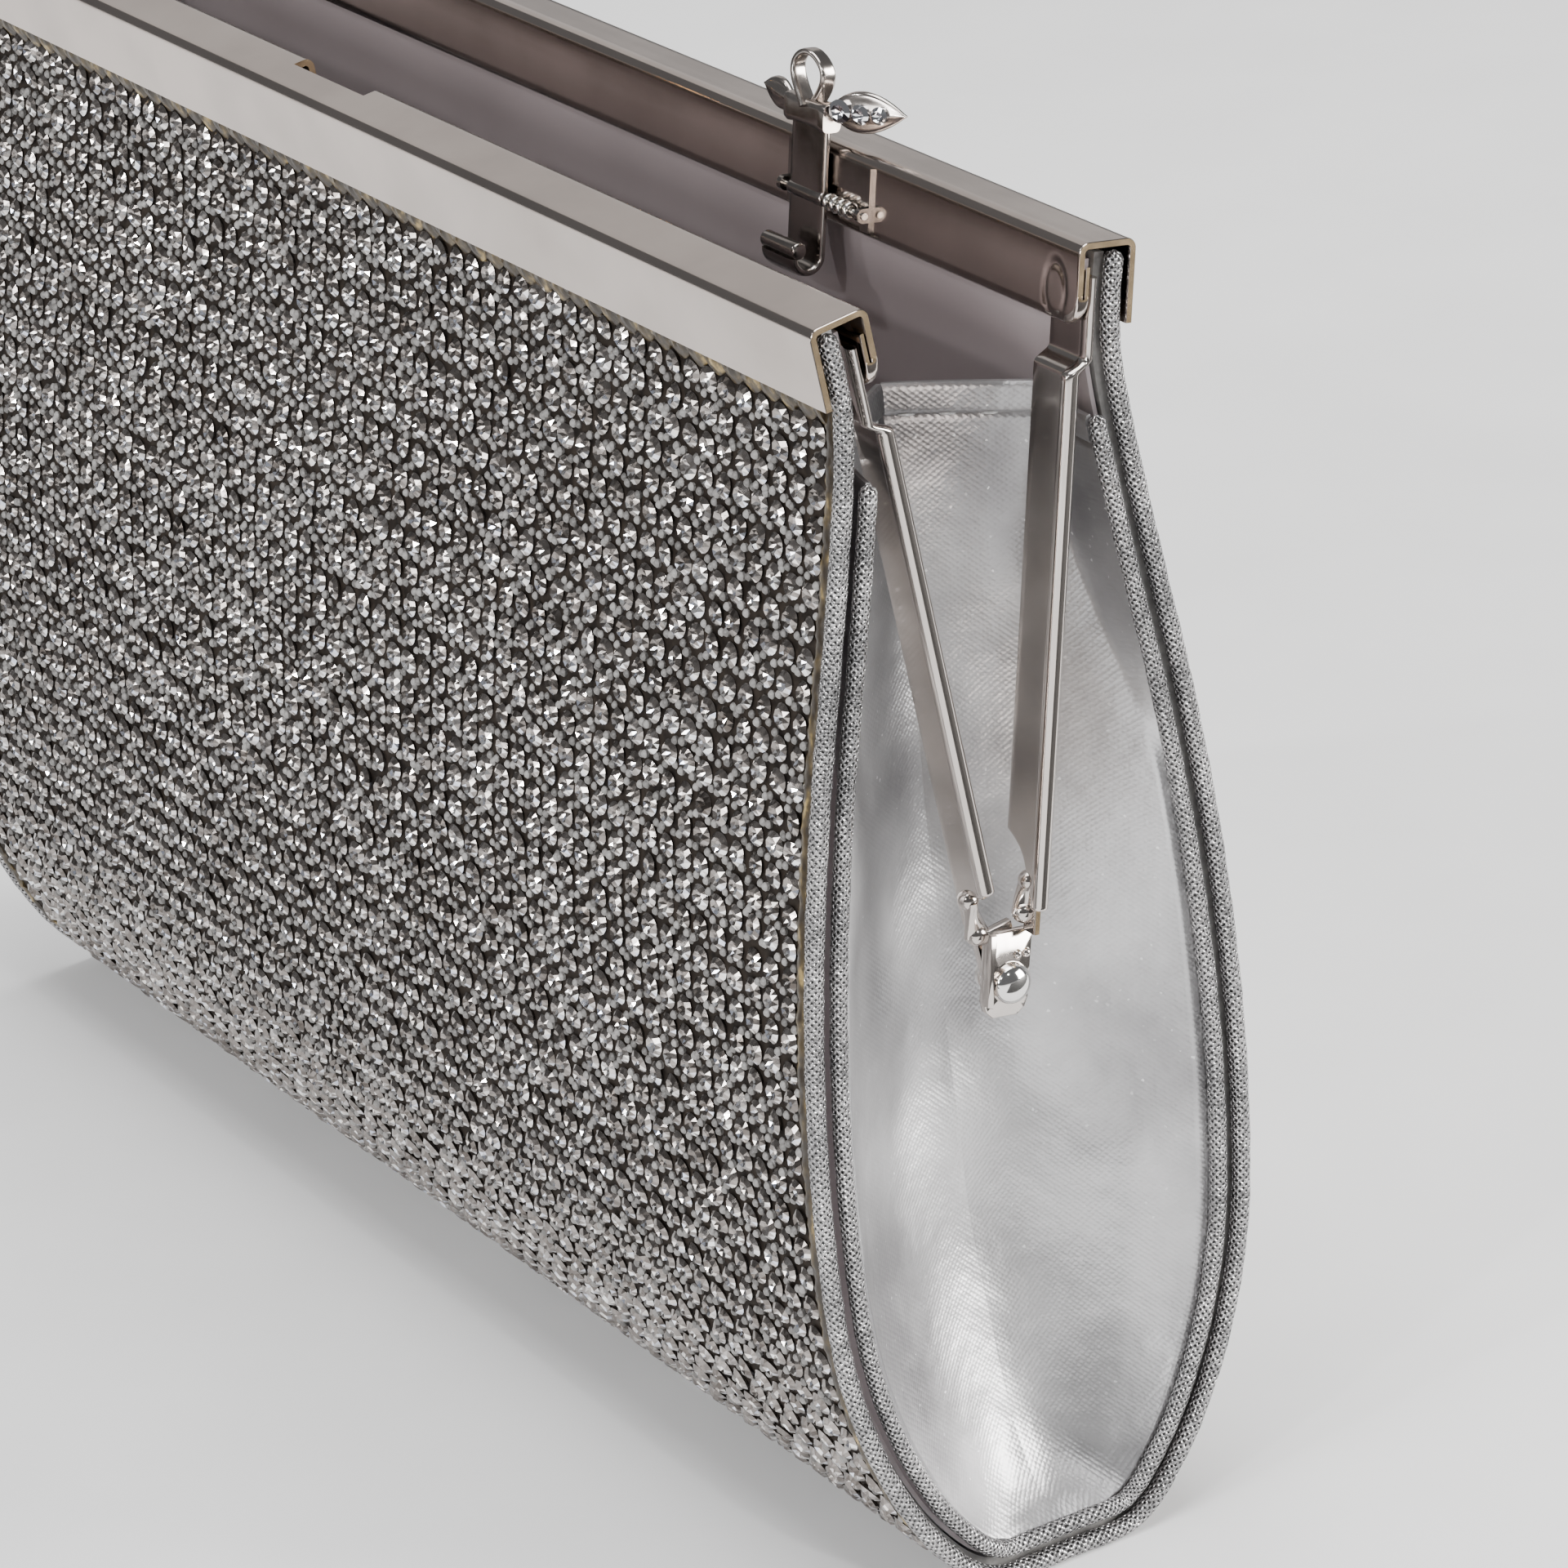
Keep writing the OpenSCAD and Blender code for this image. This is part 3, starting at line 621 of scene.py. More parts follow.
# facet holds each facet's tone: painted highlight in the lower half, painted shade in the upper half, shifted
# at random per stone
facet = np.clip(np.where(lower > 0.05, 0.15 + 0.85 * painted_highlight_tone, painted_shade_tone) + rng.normal(0, 0.08, (count, 1)), 0, 1)
place_on_panels("stones", shape, stone_x, stone_s, np.full(count, 0.08), rng.normal(1, 0.025, count),
                rng.normal(0, 0.07, (count, 2)), stone_turn, facet, CRYSTAL, False)

# Beads sit in twos and threes in the space between four stones
ci, ri, side_bead = (a.ravel() for a in np.meshgrid(np.arange(-1, COLUMNS), np.arange(ROWS), (0, 1, 2)))
some = (side_bead < 2) | (rng.uniform(size=len(ci)) < 0.35)
ci, ri, side_bead = ci[some], ri[some], side_bead[some]
count = len(ci)
spread = rng.normal(0.52, 0.08, count)
slant = rng.normal(0, 0.35, count) + 1.57 * (side_bead == 2)
sign = np.where(side_bead == 0, -1, 1)
bead_x = FIRST_X - PITCH_X * (ci + 0.5) + sign * spread * np.cos(slant) + rng.normal(0, 0.05, count)
bead_s = FIRST_S + PITCH_S * (ri + 0.5) + sign * spread * np.sin(slant) + rng.normal(0, 0.06, count)
kept = np.abs(bead_x) < PANEL_X - 1.15
shape = bead_shape()
tones = np.repeat(rng.uniform(0, 1, (count, 1)), len(shape[0]), 1)
lift = 0.30 + rng.uniform(-0.14, 0.16, count)
place_on_panels("beads", shape, *(a[kept] for a in (
    bead_x, bead_s, lift, rng.normal(1, 0.05, count), rng.normal(0, 0.02, (count, 2)),
    rng.uniform(0, 6.28, count), tones)), BEAD, True)


# -------- glue film beside the bindings
def film(sx, sy):
    """A ridge of dried glue between the last stones and the binding, wavy on the stones' side."""
    s = np.linspace(LEG_S - 1.5, LENGTH, 260)
    across = np.linspace(0, 1, 7)
    x = PANEL_X - 1.05 + across * 1.35
    wander = 0.10 * np.sin(2.25 * s) + 0.09 * np.sin(5.3 * s + 1) + 0.07 * np.sin(11.7 * s + 2)
    height = 0.36 + 0.30 * np.sin(math.pi * across)[None] + wander[:, None] * (1 - across)[None]
    xx = np.broadcast_to(x, height.shape) + 0.12 * np.sin(2.25 * s)[:, None] * (1 - across)[None]
    grids = [np.concatenate([xx[..., None], on_line(np.repeat(s[:, None], 7, 1), h)], -1)
             for h in (height, height * 0 + 0.2)]
    points, faces, _ = closed_sheet(*(mirrored(g, sx, sy) for g in grids))
    return points, faces


for side, sy in SIDES:
    for end, sx in ENDS:
        points, faces = film(sx, sy)
        obj = add_piece(f"{side}_glue_film_{end}", points, faces, GLUE)
        bend_with(obj)


def tuck(sy):
    """The net's glued edge, drawn up between the stones where it goes under the rail."""
    x = np.arange(-PANEL_X + 0.3, PANEL_X - 0.3, 0.2)
    across = np.linspace(0, 1, 9)
    scallop = np.abs(np.sin(math.pi * (x - FIRST_X) / PITCH_X))
    rough = 0.05 * np.sin(7.1 * x) + 0.04 * np.sin(13.3 * x + 1)
    s = LEG_S - 0.6 + across[:, None] * (2.35 + 0.75 * scallop)[None]
    swell = np.sin(math.pi * across**0.8)[:, None]
    height = 0.40 + swell * (0.55 + 0.30 * scallop + rough)[None]
    xx = np.broadcast_to(x, s.shape)
    grids = [np.concatenate([xx[..., None], on_line(s, h)], -1) for h in (height, height * 0 + 0.15)]
    return closed_sheet(*(mirrored(g, 1, sy) for g in grids))[:2]


for side, sy in SIDES:
    points, faces = tuck(sy)
    obj = add_piece(f"{side}_tucked_edge", points, faces, GLUE)
    bend_with(obj)


# -------- rolled bindings
def binding(name, sx, sy, offset, radius, s0, node, seed):
    """A tube along the panel's line; its upper end is rounded, its thickness varies a little."""
    s = np.append(np.arange(s0, LENGTH, 0.3), LENGTH)
    sides = 26
    wobble = 0.02 * np.sin(0.9 * s + seed) + 0.015 * np.sin(2.3 * s + 2 * seed)
    r = radius + wobble
    start = np.clip((s - s0) / radius, 0, 1)
    r = r * np.sqrt(np.clip(1 - (1 - start) ** 2, 0.02, 1))
    centre = on_line(s, offset)
    _, out = line_frame(s)
    a = circle(sides)
    ring_x = BINDING_X + r[:, None] * np.cos(a)
    ring_yz = centre[:, None] + (r[:, None] * np.sin(a))[..., None] * out[:, None]
    rings = mirrored(np.concatenate([ring_x[..., None], ring_yz], -1), sx, sy)
    points, faces = loft(rings)
    around = np.minimum(a, 2 * math.pi - a) * radius
    uv = np.stack(np.broadcast_arrays(s[:, None], around[None]), -1).reshape(-1, 2)
    uv = np.concatenate([uv, [[s0, 0], [LENGTH, 0]]])
    obj = add_piece(name, points, faces, BINDING, uv=uv)
    bend_with(obj)
    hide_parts(node)


# The gusset's binding starts below the rail, at this length down the line
inner_start = float(np.interp(-48.6, -on_line(LINE_S, INNER_BINDING_D)[:, 1], LINE_S))
for end, sx in ENDS:
    for side, sy in SIDES:
        binding(f"{side}_panel_binding_{end}", sx, sy, 0.0, BINDING_R, 0.0,
                f"panel_binding_{end}", 1 + sy)
        binding(f"{side}_gusset_binding_{end}", sx, sy, INNER_BINDING_D, INNER_BINDING_R, inner_start,
                f"gusset_binding_{end}", 3 + sy)

# -------- gussets
FOLD = 14.5  # depth of the middle fold at the top
HEM_Z = 50.2
GUSSET_T = 0.4
INNER_LOW = INNER[-1, 1]


def gusset_x(u, z):
    """How far along the bag the gusset lies, at u of its half width and height z.

    Its middle lies `depth` in from its lower edge; near its top its edge too steps in, by `side`,
    to pass inside the arms.
    """
    low = 0.1 + 11.9 * np.clip(1 - np.abs(z / INNER_LOW) ** 2.4, 0, 1) ** 0.6
    depth = np.where(z > 0, 12 + (FOLD - 12) * z / 50, low)
    side = 5.9 * step((z - 14) / 22)
    power = 2.1 - 1.0 * step((z + 5) / 50)
    x = HALF - 1.2 - side * np.minimum(1, (1 - u) / 0.05)
    return x - (depth - side) * (1 - np.minimum(1, u / 0.95) ** power)


def slack(u, z):
    """Soft hollows and puckers of the leatherette."""
    soft = 0.35 * np.sin(0.16 * z + 2.2 * u) * np.sin(3.1 * u) + 0.16 * np.sin(0.34 * z + 5 * u + 1)
    return soft * np.minimum(1, 4 * (1 - u)) * step((HEM_Z - z) / 14) * step((z - INNER_LOW) / 8)


def gusset_grid(sy, z, u, lift):
    """A grid of points on the gusset, lift mm outside it."""
    zz, uu = np.meshgrid(z, u, indexing="ij")
    zz = zz - 1.7 * step((uu - 0.93) / 0.07) * step((zz - 38) / 12)
    half = inner_half(zz) - 0.05
    x = gusset_x(uu, zz) + slack(uu, zz)
    p = np.stack([x, uu * half, zz], -1)
    du, dz = np.gradient(p, axis=1), np.gradient(p, axis=0)
    normal = np.cross(du, dz)
    normal /= np.maximum(np.linalg.norm(normal, axis=-1, keepdims=True), 1e-9)
    normal *= np.where(normal[..., :1] < 0, -1, 1)
    return mirrored(p + normal * np.asarray(lift)[..., None], 1, sy)


def gusset_blend(obj):
    """Works out the shares of a blend from the panel's edge to the hem's middle, which nothing uses, and
    bakes the piece's placement into its points.
    """
    z = np.array([BLEND_LOW, HEM_Z])
    t = (z - BLEND_LOW) / (BLEND_HIGH - BLEND_LOW)
    edge = inner_half(z)
    # The share t = a |y| + b z + c equals the panel's own along the edge, and is 0 at the hem's middle
    a, b, c = np.linalg.solve(
        [[edge[0], z[0], 1], [edge[1], z[1], 1], [0, HEM_Z, 1]], [t[0], t[1], 0])
    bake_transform(obj)


def half_gusset(side, sy, end, sx):
    """Half of an end's gusset, from the middle fold to the binding, with its hem raised a little."""
    z = np.concatenate([
        np.linspace(HEM_Z, HEM_Z - 3.6, 16)[:-1], np.linspace(HEM_Z - 3.6, INNER_LOW - 0.25, 112)])
    u = 1 - (1 - np.linspace(0, 1, 44)) ** 1.5
    hem = 0.22 * step((z - HEM_Z + 2.9) / 0.35) - 0.16 * np.exp(-(((z - HEM_Z + 2.8) / 0.28) ** 2))
    hem -= 0.22 * step((z - HEM_Z + 0.35) / 0.35)
    lift = np.repeat(hem[:, None], len(u), 1)
    top = gusset_grid(sy, z, u, lift)
    bottom = gusset_grid(sy, z, u, np.full(lift.shape, -GUSSET_T))
    points, faces, _ = closed_sheet(mirrored(top, sx), mirrored(bottom, sx))
    uv = np.concatenate([(top[..., 1:]).reshape(-1, 2)] * 2)
    obj = add_piece(f"{side}_gusset_{end}", points, faces, GUSSET, uv=uv)
    gusset_blend(obj)
    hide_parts(f"gusset_top_{end}", f"gusset_base_{end}")


def half_stitches(side, sy, end, sx):
    """Three stitches in the groove under the hem, each a thread that dips at both ends."""
    line = gusset_grid(sy, HEM_Z - np.array([2.7, 2.8, 2.9]), np.linspace(0, 0.95, 96), 0.02)[1]
    t = np.linspace(-1, 1, 9)
    thick = 0.15 * np.sqrt(1 - 0.94 * t**2)
    a = circle(8)
    stitches = Parts()
    for j in (14, 39, 64):
        along = line[j + 4] - line[j - 4]
        along /= np.linalg.norm(along)
        out = np.cross(along, [0, 0, 1])
        out *= 1 if out[0] > 0 else -1
        centre = line[j] + 0.72 * t[:, None] * along - 0.10 * (t**2)[:, None] * out
        round_it = np.cos(a)[None, :, None] * out + np.sin(a)[None, :, None] * np.array([0, 0, 1.0])
        stitches.add(*loft(mirrored(centre[:, None] + thick[:, None, None] * round_it, sx)))
    obj = stitches.make(f"{side}_hem_stitches_{end}", THREAD)
    gusset_blend(obj)
    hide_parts("hem_stitches")


for end, sx in ENDS:
    for side, sy in SIDES:
        half_gusset(side, sy, end, sx)
        half_stitches(side, sy, end, sx)


# -------- rails
def arc(cn, cz, r, a0, a1, count):
    a = np.radians(np.linspace(a0, a1, count))
    return np.stack([cn + r * np.cos(a), cz + r * np.sin(a)], -1)


def rail_path():
    """Middle line of the folded sheet, from the outer leg's edge to the hem, with half thicknesses."""
    outer, inner, top, low = RAIL_GAP + RAIL_W - 0.3, RAIL_GAP + 0.3, RAIL_TOP - 0.3, RAIL_TOP - RAIL_LEG
    bend = 0.62
    parts = [
        np.stack([np.full(22, outer), np.linspace(low, top - bend, 22)], -1),
        arc(outer - bend, top - bend, bend, 0, 90, 9)[1:],
        np.stack([np.linspace(outer - bend, inner + bend, 16), np.full(16, top)], -1)[1:],
        arc(inner + bend, top - bend, bend, 90, 180, 9)[1:],
        np.stack([np.full(24, inner), np.linspace(top - bend, low + 0.55, 24)], -1)[1:],
        arc(inner + 0.33, low + 0.55, 0.33, 180, 360, 9)[1:],
        np.stack([np.full(12, inner + 0.66), np.linspace(low + 0.55, RAIL_TOP - 2.6, 12)], -1)[1:],
    ]
    line = np.concatenate(parts)
    hem_from = len(line) - 12
    half = np.where(np.arange(len(line)) < hem_from - 8, 0.3, 0.21)
    return line, half


def rail(side, sy, notched):
    line, half = rail_path()
    tangent = np.gradient(line, axis=0)
    tangent /= np.linalg.norm(tangent, axis=1)[:, None]
    normal = np.stack([tangent[:, 1], -tangent[:, 0]], -1)
    near = HALF - np.concatenate([[0, 0.08], np.linspace(0.25, 7, 34)])
    middle = np.linspace(0, HALF - 7.3, 100)
    notch = NOTCH_HALF - np.array([0.05, 0, 1.1, 2.2]) if notched else []
    xs = np.unique(np.concatenate([middle, near, notch]))
    xs = np.unique(np.concatenate([-xs, xs]))
    low = RAIL_TOP - RAIL_LEG
    is_inner = np.arange(len(line)) > 50
    grids = []
    for sign in (1, -1):
        p = line + sign * half[:, None] * normal
        grid = np.repeat(p[:, None], len(xs), 1)
        # Rounded lower corner of the inner leg, which leaves its top as it is
        from_corner = np.clip(np.abs(xs) - (HALF - CORNER_R), 0, CORNER_R)
        rise = CORNER_R - np.sqrt(CORNER_R**2 - from_corner**2)
        fixed = RAIL_TOP - 1.2
        share = (fixed - low - rise) / (fixed - low)
        z = grid[..., 1]
        squeezed = fixed - (fixed - z) * share[None]
        grid[..., 1] = np.where(is_inner[:, None] & (z < fixed), squeezed, z)
        # Pressed oval near each end of the inner face
        oval = np.hypot((np.abs(xs)[None] - (HALF - 3.3)) / 1.5, (grid[..., 1] - (RAIL_TOP - 4.6)) / 2.3)
        press = 0.11 * np.exp(-(((oval - 1) / 0.16) ** 2)) + 0.05 * step((1.1 - oval) / 0.2)
        grid[..., 0] += np.where((grid[..., 0] < RAIL_GAP + 0.7) & is_inner[:, None], press, 0)
        # Ends of the sheet are eased by a hair
        ease = 0.05 * (np.abs(xs) > HALF - 0.01)
        grid = grid - sign * normal[:, None] * ease[None, :, None]
        grids.append(np.concatenate([np.broadcast_to(xs, z.shape)[..., None], grid], -1))
    keep = np.ones((len(line) - 1, len(xs) - 1), bool)
    if notched:
        mid_x = (xs[1:] + xs[:-1]) / 2
        mid = (line[1:] + line[:-1]) / 2
        corner = (mid[:, 0] < RAIL_GAP + 1.9) & (mid[:, 1] > RAIL_TOP - 3.0)
        keep[np.ix_(corner, np.abs(mid_x) < NOTCH_HALF)] = False
    points, faces, cells = closed_sheet(*grids, keep)
    index = np.zeros(len(faces), int)
    index[2 * cells:] = 1
    obj = add_piece(f"{side}_rail_channel", swung(points, sy), faces, [RAIL, RAIL_EDGE], mat_index=index)
    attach(obj, f"{side}_frame")
    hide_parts(f"{side}_rail")


rail("front", -1, True)
rail("rear", 1, False)


# -------- arms
ARM_W = 5.6
ARM_T = 0.6
ARM_BEAD_R = 0.75
JOG_Z = 53.3
LOW_N = RAIL_GAP
HIGH_N = RAIL_GAP + SHEET + 0.85
EDGE = HALF - 0.1
PIVOT_X = HALF - 2.45
ARM_TOP = RAIL_TOP - 3.1


def joggle(z):
    """How far out an arm's strip lies at height z."""
    return LOW_N + (HIGH_N - LOW_N) * step((z - JOG_Z) / 1.4)


def plate(outline, x0, x1, bevel=0.13):
    """An outline in (n, z) given thickness along the bag, with its edges bevelled."""
    out = np.asarray(outline, float)
    fine = np.concatenate([a + (b - a) * np.linspace(0, 1, 6, endpoint=False)[:, None]
                           for a, b in zip(out, np.roll(out, -1, 0))])
    middle = fine.mean(0)
    rings = []
    for x, inset in ((x0, 1), (x0 + bevel, 0), (x1 - bevel, 0), (x1, 1)):
        reach = np.linalg.norm(fine - middle, axis=1, keepdims=True)
        ring = middle + (fine - middle) * (1 - inset * bevel / reach)
        rings.append(np.concatenate([np.full((len(ring), 1), x), ring], 1))
    return loft(np.array(rings))


def ball(at, r, stretch=(1, 1, 1)):
    a = np.linspace(0.02, math.pi - 0.02, 15)
    b = circle(24)
    rings = np.stack([np.sin(a)[:, None] * np.cos(b), np.sin(a)[:, None] * np.sin(b),
                      np.repeat(np.cos(a)[:, None], 24, 1)], -1)
    return loft(np.array(at) + r * rings * stretch)


def tube_through(centres, radii, turn=None, count=22):
    """A tube of oval rings; radii are (across, through) at each centre, turned about the height."""
    centres, radii = np.asarray(centres, float), np.asarray(radii, float)
    turn = np.zeros(len(centres)) if turn is None else np.asarray(turn)
    a = circle(count)
    u = radii[:, :1] * np.cos(a)
    v = radii[:, 1:] * np.sin(a)
    c, t = np.cos(turn)[:, None], np.sin(turn)[:, None]
    rings = np.stack([u * c - v * t, u * t + v * c, np.zeros_like(u)], -1) + centres[:, None]
    return loft(rings)


def strip(x_in, x_out, z):
    """The arm's flat strip: grids of points on its two faces."""
    z = z[:, None]
    across = np.linspace(0, 1, 14)
    x = x_in(z) + (x_out(z) - x_in(z)) * across
    n = np.broadcast_to(joggle(z), x.shape)
    rim = 0.07 * ((across == 0) | (across == 1))
    zz = np.broadcast_to(z, x.shape)
    return [np.stack([x, n + d + sign * rim, zz], -1) for d, sign in ((0, 1), (ARM_T, -1))]


def arm(parts, z0, bead_z, x_in, x_out):
    z = np.unique(np.concatenate([np.linspace(z0, JOG_Z - 0.8, 90), np.linspace(JOG_Z - 0.8, JOG_Z + 2.2, 16),
                                  np.linspace(JOG_Z + 2.2, ARM_TOP, 12)]))
    points, faces, cells = closed_sheet(*strip(x_in, x_out, z))
    index = np.zeros(len(faces), int)
    index[2 * cells:] = 1
    parts.add(points, faces, index)
    z = np.concatenate([[bead_z, bead_z + 0.02, bead_z + 0.12], np.linspace(bead_z + 0.3, JOG_Z - 0.6, 40),
                        np.linspace(JOG_Z - 0.4, JOG_Z + 2.0, 16), np.linspace(JOG_Z + 2.6, ARM_TOP, 10)])
    flat = step((z - JOG_Z + 0.4) / 2.2)
    grow = np.concatenate([[0.80, 0.88, 1.0], np.ones(len(z) - 3)])
    centres = np.stack([np.full(len(z), EDGE - ARM_BEAD_R), joggle(z) + 0.35, z], -1)
    radii = np.stack([ARM_BEAD_R * grow, (ARM_BEAD_R - 0.33 * flat) * grow], -1)
    parts.add(*tube_through(centres, radii))


def lug(parts, x0, n0, n1, z1):
    parts.add(*plate([(n0 + 1, -3.1), (n1 - 1, -3.1), (n1 - 0.3, -2.5), (n1, -1.6), (n1, z1), (n0, z1),
                      (n0, -1.6), (n0 + 0.3, -2.5)], x0, x0 + 0.9))


def twist(parts, top, low):
    """The formed neck between the strip and its lug: a band that turns a quarter, with a boss at each end."""
    t = np.linspace(0, 1, 18)[:, None]
    centres = np.array(top) + t * (np.array(low) - np.array(top))
    radii = np.stack([1.2 - 0.2 * np.sin(math.pi * t[:, 0]), 0.62 + 0.1 * np.sin(math.pi * t[:, 0])], -1)
    parts.add(*tube_through(centres, radii, math.pi / 2 * step(t[:, 0])))
    parts.add(*ball(top, 0.95))
    parts.add(*ball(low, 1.05))


def front_arm():
    parts = Parts()
    lug_x = PIVOT_X - 2.3

    def x_in(z):
        scoop = np.sqrt(np.clip(16 - (z - 3) ** 2, 0, None))
        return np.maximum(EDGE - ARM_W, np.where(np.abs(z - 3) < 4, EDGE - 8.8 + scoop, 0))

    def x_out(z):
        return lug_x + 0.9 + (EDGE - ARM_BEAD_R - lug_x - 0.9) * step((z - 8.6) / 0.9)

    arm(parts, 4.4, 10.0, x_in, x_out)
    lug(parts, lug_x, -2.1, LOW_N + ARM_T, 4.6)
    twist(parts, (lug_x + 0.85, LOW_N + 0.50, 8.3), (lug_x + 0.80, LOW_N + 0.40, 4.9))
    return parts


def rear_arm():
    parts = Parts()
    lug_x = PIVOT_X - 1

    def x_in(z):
        scoop = EDGE - ARM_W - 0.6 + np.sqrt(np.clip(3.7**2 - (z - 8.8) ** 2, 0, None))
        narrow = np.where(z < 8.8, EDGE - ARM_W - 0.6 + 3.7, scoop)
        return np.where(z > 12.5, EDGE - ARM_W, np.maximum(EDGE - ARM_W, narrow))

    def x_out(z):
        return np.full_like(z, EDGE - ARM_BEAD_R)

    arm(parts, 4.6, 6.9, x_in, x_out)
    lug(parts, lug_x, -2.5, 2.0, 4.6)
    wall = [(-2.6, -1.7), (-2.05, -1.9), (-2.05, 4.75), (-2.6, 4.75)]
    parts.add(*plate(wall, lug_x + 0.7, lug_x + 1.62, 0.1))
    twist(parts, (lug_x + 0.75, LOW_N + 0.45, 8.9), (lug_x + 0.80, LOW_N + 0.05, 6.2))
    for n in (0.6, 1.5):
        parts.add(*ball((lug_x + 0.86, n, 2.45), 0.42))
    return parts


def rivet():
    """Domed head outside, on a raised ring, and a flat clenched head inside."""
    parts = Parts()
    a = circle(40)
    dome = [(PIVOT_X - 0.12, 1.85), (PIVOT_X + 0.02, 1.88), (PIVOT_X + 0.16, 1.85)]
    dome += [(PIVOT_X + 0.16 + 1.14 * math.sin(t), 1.82 * math.cos(t)) for t in np.linspace(0.12, 1.53, 16)]
    tail = [(PIVOT_X - 3.08, 1.45), (PIVOT_X - 2.98, 1.66), (PIVOT_X - 2.5, 1.68), (PIVOT_X - 2.40, 1.5),
            (PIVOT_X - 2.38, 1.08), (PIVOT_X - 0.1, 1.08)]
    for profile in (dome, tail):
        rings = [np.stack([np.full(40, x), r * np.cos(a), r * np.sin(a)], -1) for x, r in profile]
        parts.add(*loft(np.array(rings)))
    return parts


for end, sx in ENDS:
    for side, sy, build in (("front", -1, front_arm), ("rear", 1, rear_arm)):
        obj = build().make(f"{side}_arm_{end}_pressed", [ARM, RAIL_EDGE],
                           lambda p, sx=sx, sy=sy: mirrored(swung(p, sy), sx))
        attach(obj, f"{side}_frame")
        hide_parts(f"{side}_arm_{end}")
    obj = rivet().make(f"pivot_rivet_{end}", RIVET, lambda p, sx=sx: mirrored(p, sx))
    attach(obj, "bag")
    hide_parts("pivot_rivets")


# -------- clasp
STEM_W = 5.4
STEM_T = 0.8
PIN_N = 0.2
HOOK_R = 1.35
LEAF_TURN = math.radians(26)


def ribbon(path, across, half_w, half_t):
    """A strap of rounded section along a path; across is the direction of its width."""
    path = np.asarray(path, float)
    across = np.asarray(across, float)
    tangent = np.gradient(path, axis=0)
    tangent /= np.linalg.norm(tangent, axis=1)[:, None]
    through = np.cross(tangent, across)
    through /= np.linalg.norm(through, axis=1)[:, None]
    a = circle(28, 0.5)
    u = np.sign(np.cos(a)) * np.abs(np.cos(a)) ** 0.35
    v = np.sign(np.sin(a)) * np.abs(np.sin(a)) ** 0.55
    w = np.broadcast_to(half_w, len(path))[:, None, None]
    t = np.broadcast_to(half_t, len(path))[:, None, None]
    rings = path[:, None] + w * u[None, :, None] * across + t * v[None, :, None] * through[:, None]
    return loft(rings)


def lever():
    parts = Parts()
    down = [(0, 0, z) for z in np.linspace(66.6, 54.7, 26)]
    a = np.linspace(0, math.pi, 20)[1:]
    hook = [(0, -HOOK_R + HOOK_R * math.cos(t), 54.6 - HOOK_R * math.sin(t)) for t in a]
    taper = np.concatenate([np.full(26, STEM_W / 2), STEM_W / 2 - 0.15 * step(a / math.pi)])
    parts.add(*ribbon(down + hook, (1, 0, 0), taper, STEM_T / 2))
    for z, n, r, w in ((59.6, 0, 0.66, STEM_W / 2), (55.25, -2.36, 0.75, STEM_W / 2 - 0.02)):
        x = np.array([-w, -w + 0.07, -w + 0.22, w - 0.22, w - 0.07, w])
        size = r * np.array([0.78, 0.94, 1, 1, 0.94, 0.78])
        t = circle(30)
        y, up = n + size[:, None] * np.cos(t), z + size[:, None] * np.sin(t)
        parts.add(*loft(np.stack(np.broadcast_arrays(x[:, None], y, up), -1)))
    return parts


def leaf(length, height, rise):
    """A domed leaf with a ridge along it, its stalk at the origin and its tip along X."""
    t = np.linspace(0, 1, 30)[:, None]
    half = height / 2 * np.clip(np.sin(math.pi * t**0.85), 0.03, 1) ** 0.85
    a = circle(28)
    dome = 0.50 * np.abs(np.sin(a)) ** 0.8 * np.sign(np.sin(a)) * (0.35 + 0.65 * half / (height / 2))
    ridge = 0.10 * np.cos(6 * a) * half / height
    x = np.broadcast_to(length * t, half.shape[:1] + (28,))
    z = rise * t**1.3 + half * np.cos(a)
    return np.stack([x, dome + ridge, z], -1)


def turned(p, angle):
    c, t = math.cos(angle), math.sin(angle)
    return np.stack([p[..., 0] * c - p[..., 1] * t, p[..., 0] * t + p[..., 1] * c, p[..., 2]], -1)


def bow():
    parts = Parts()
    # Loop of ribbon, drawn to a soft point that leans to the left
    t = np.linspace(0, 1, 44)
    swing = 2 * math.pi * t
    x = 2.25 * np.sin(swing) * (0.55 + 0.45 * np.cos(swing / 2) ** 2) - 0.5 * np.sin(math.pi * t) ** 2
    z = 67.3 + 4.6 * np.sin(math.pi * t) ** 0.9
    depth = 0.45 * np.cos(math.pi * t)
    parts.add(*ribbon(np.stack([x, depth, z], -1), (0, 1, 0), 0.80 - 0.15 * np.sin(math.pi * t), 0.27))
    # Knot wound round the stem's top
    u = np.linspace(-1, 1, 15)
    waist = 0.82 + 0.18 * u**2
    ends = np.where(np.abs(u) > 0.99, 0.86, 1)
    path = np.stack([3.15 * u, 0 * u, np.full(15, 66.75)], -1)
    parts.add(*ribbon(path, (0, 0, 1), 1.4 * waist * ends, 1.05 * waist * ends))
    right = turned(leaf(7.6, 3.7, 0.5), LEAF_TURN) + [STEM_W / 2, 0, 67.6]
    left = mirrored(leaf(4.9, 2.8, 0.5), -1) + [-STEM_W / 2, 0, 67.1]
    for grid in (right, left):
        parts.add(*loft(grid))
    return parts


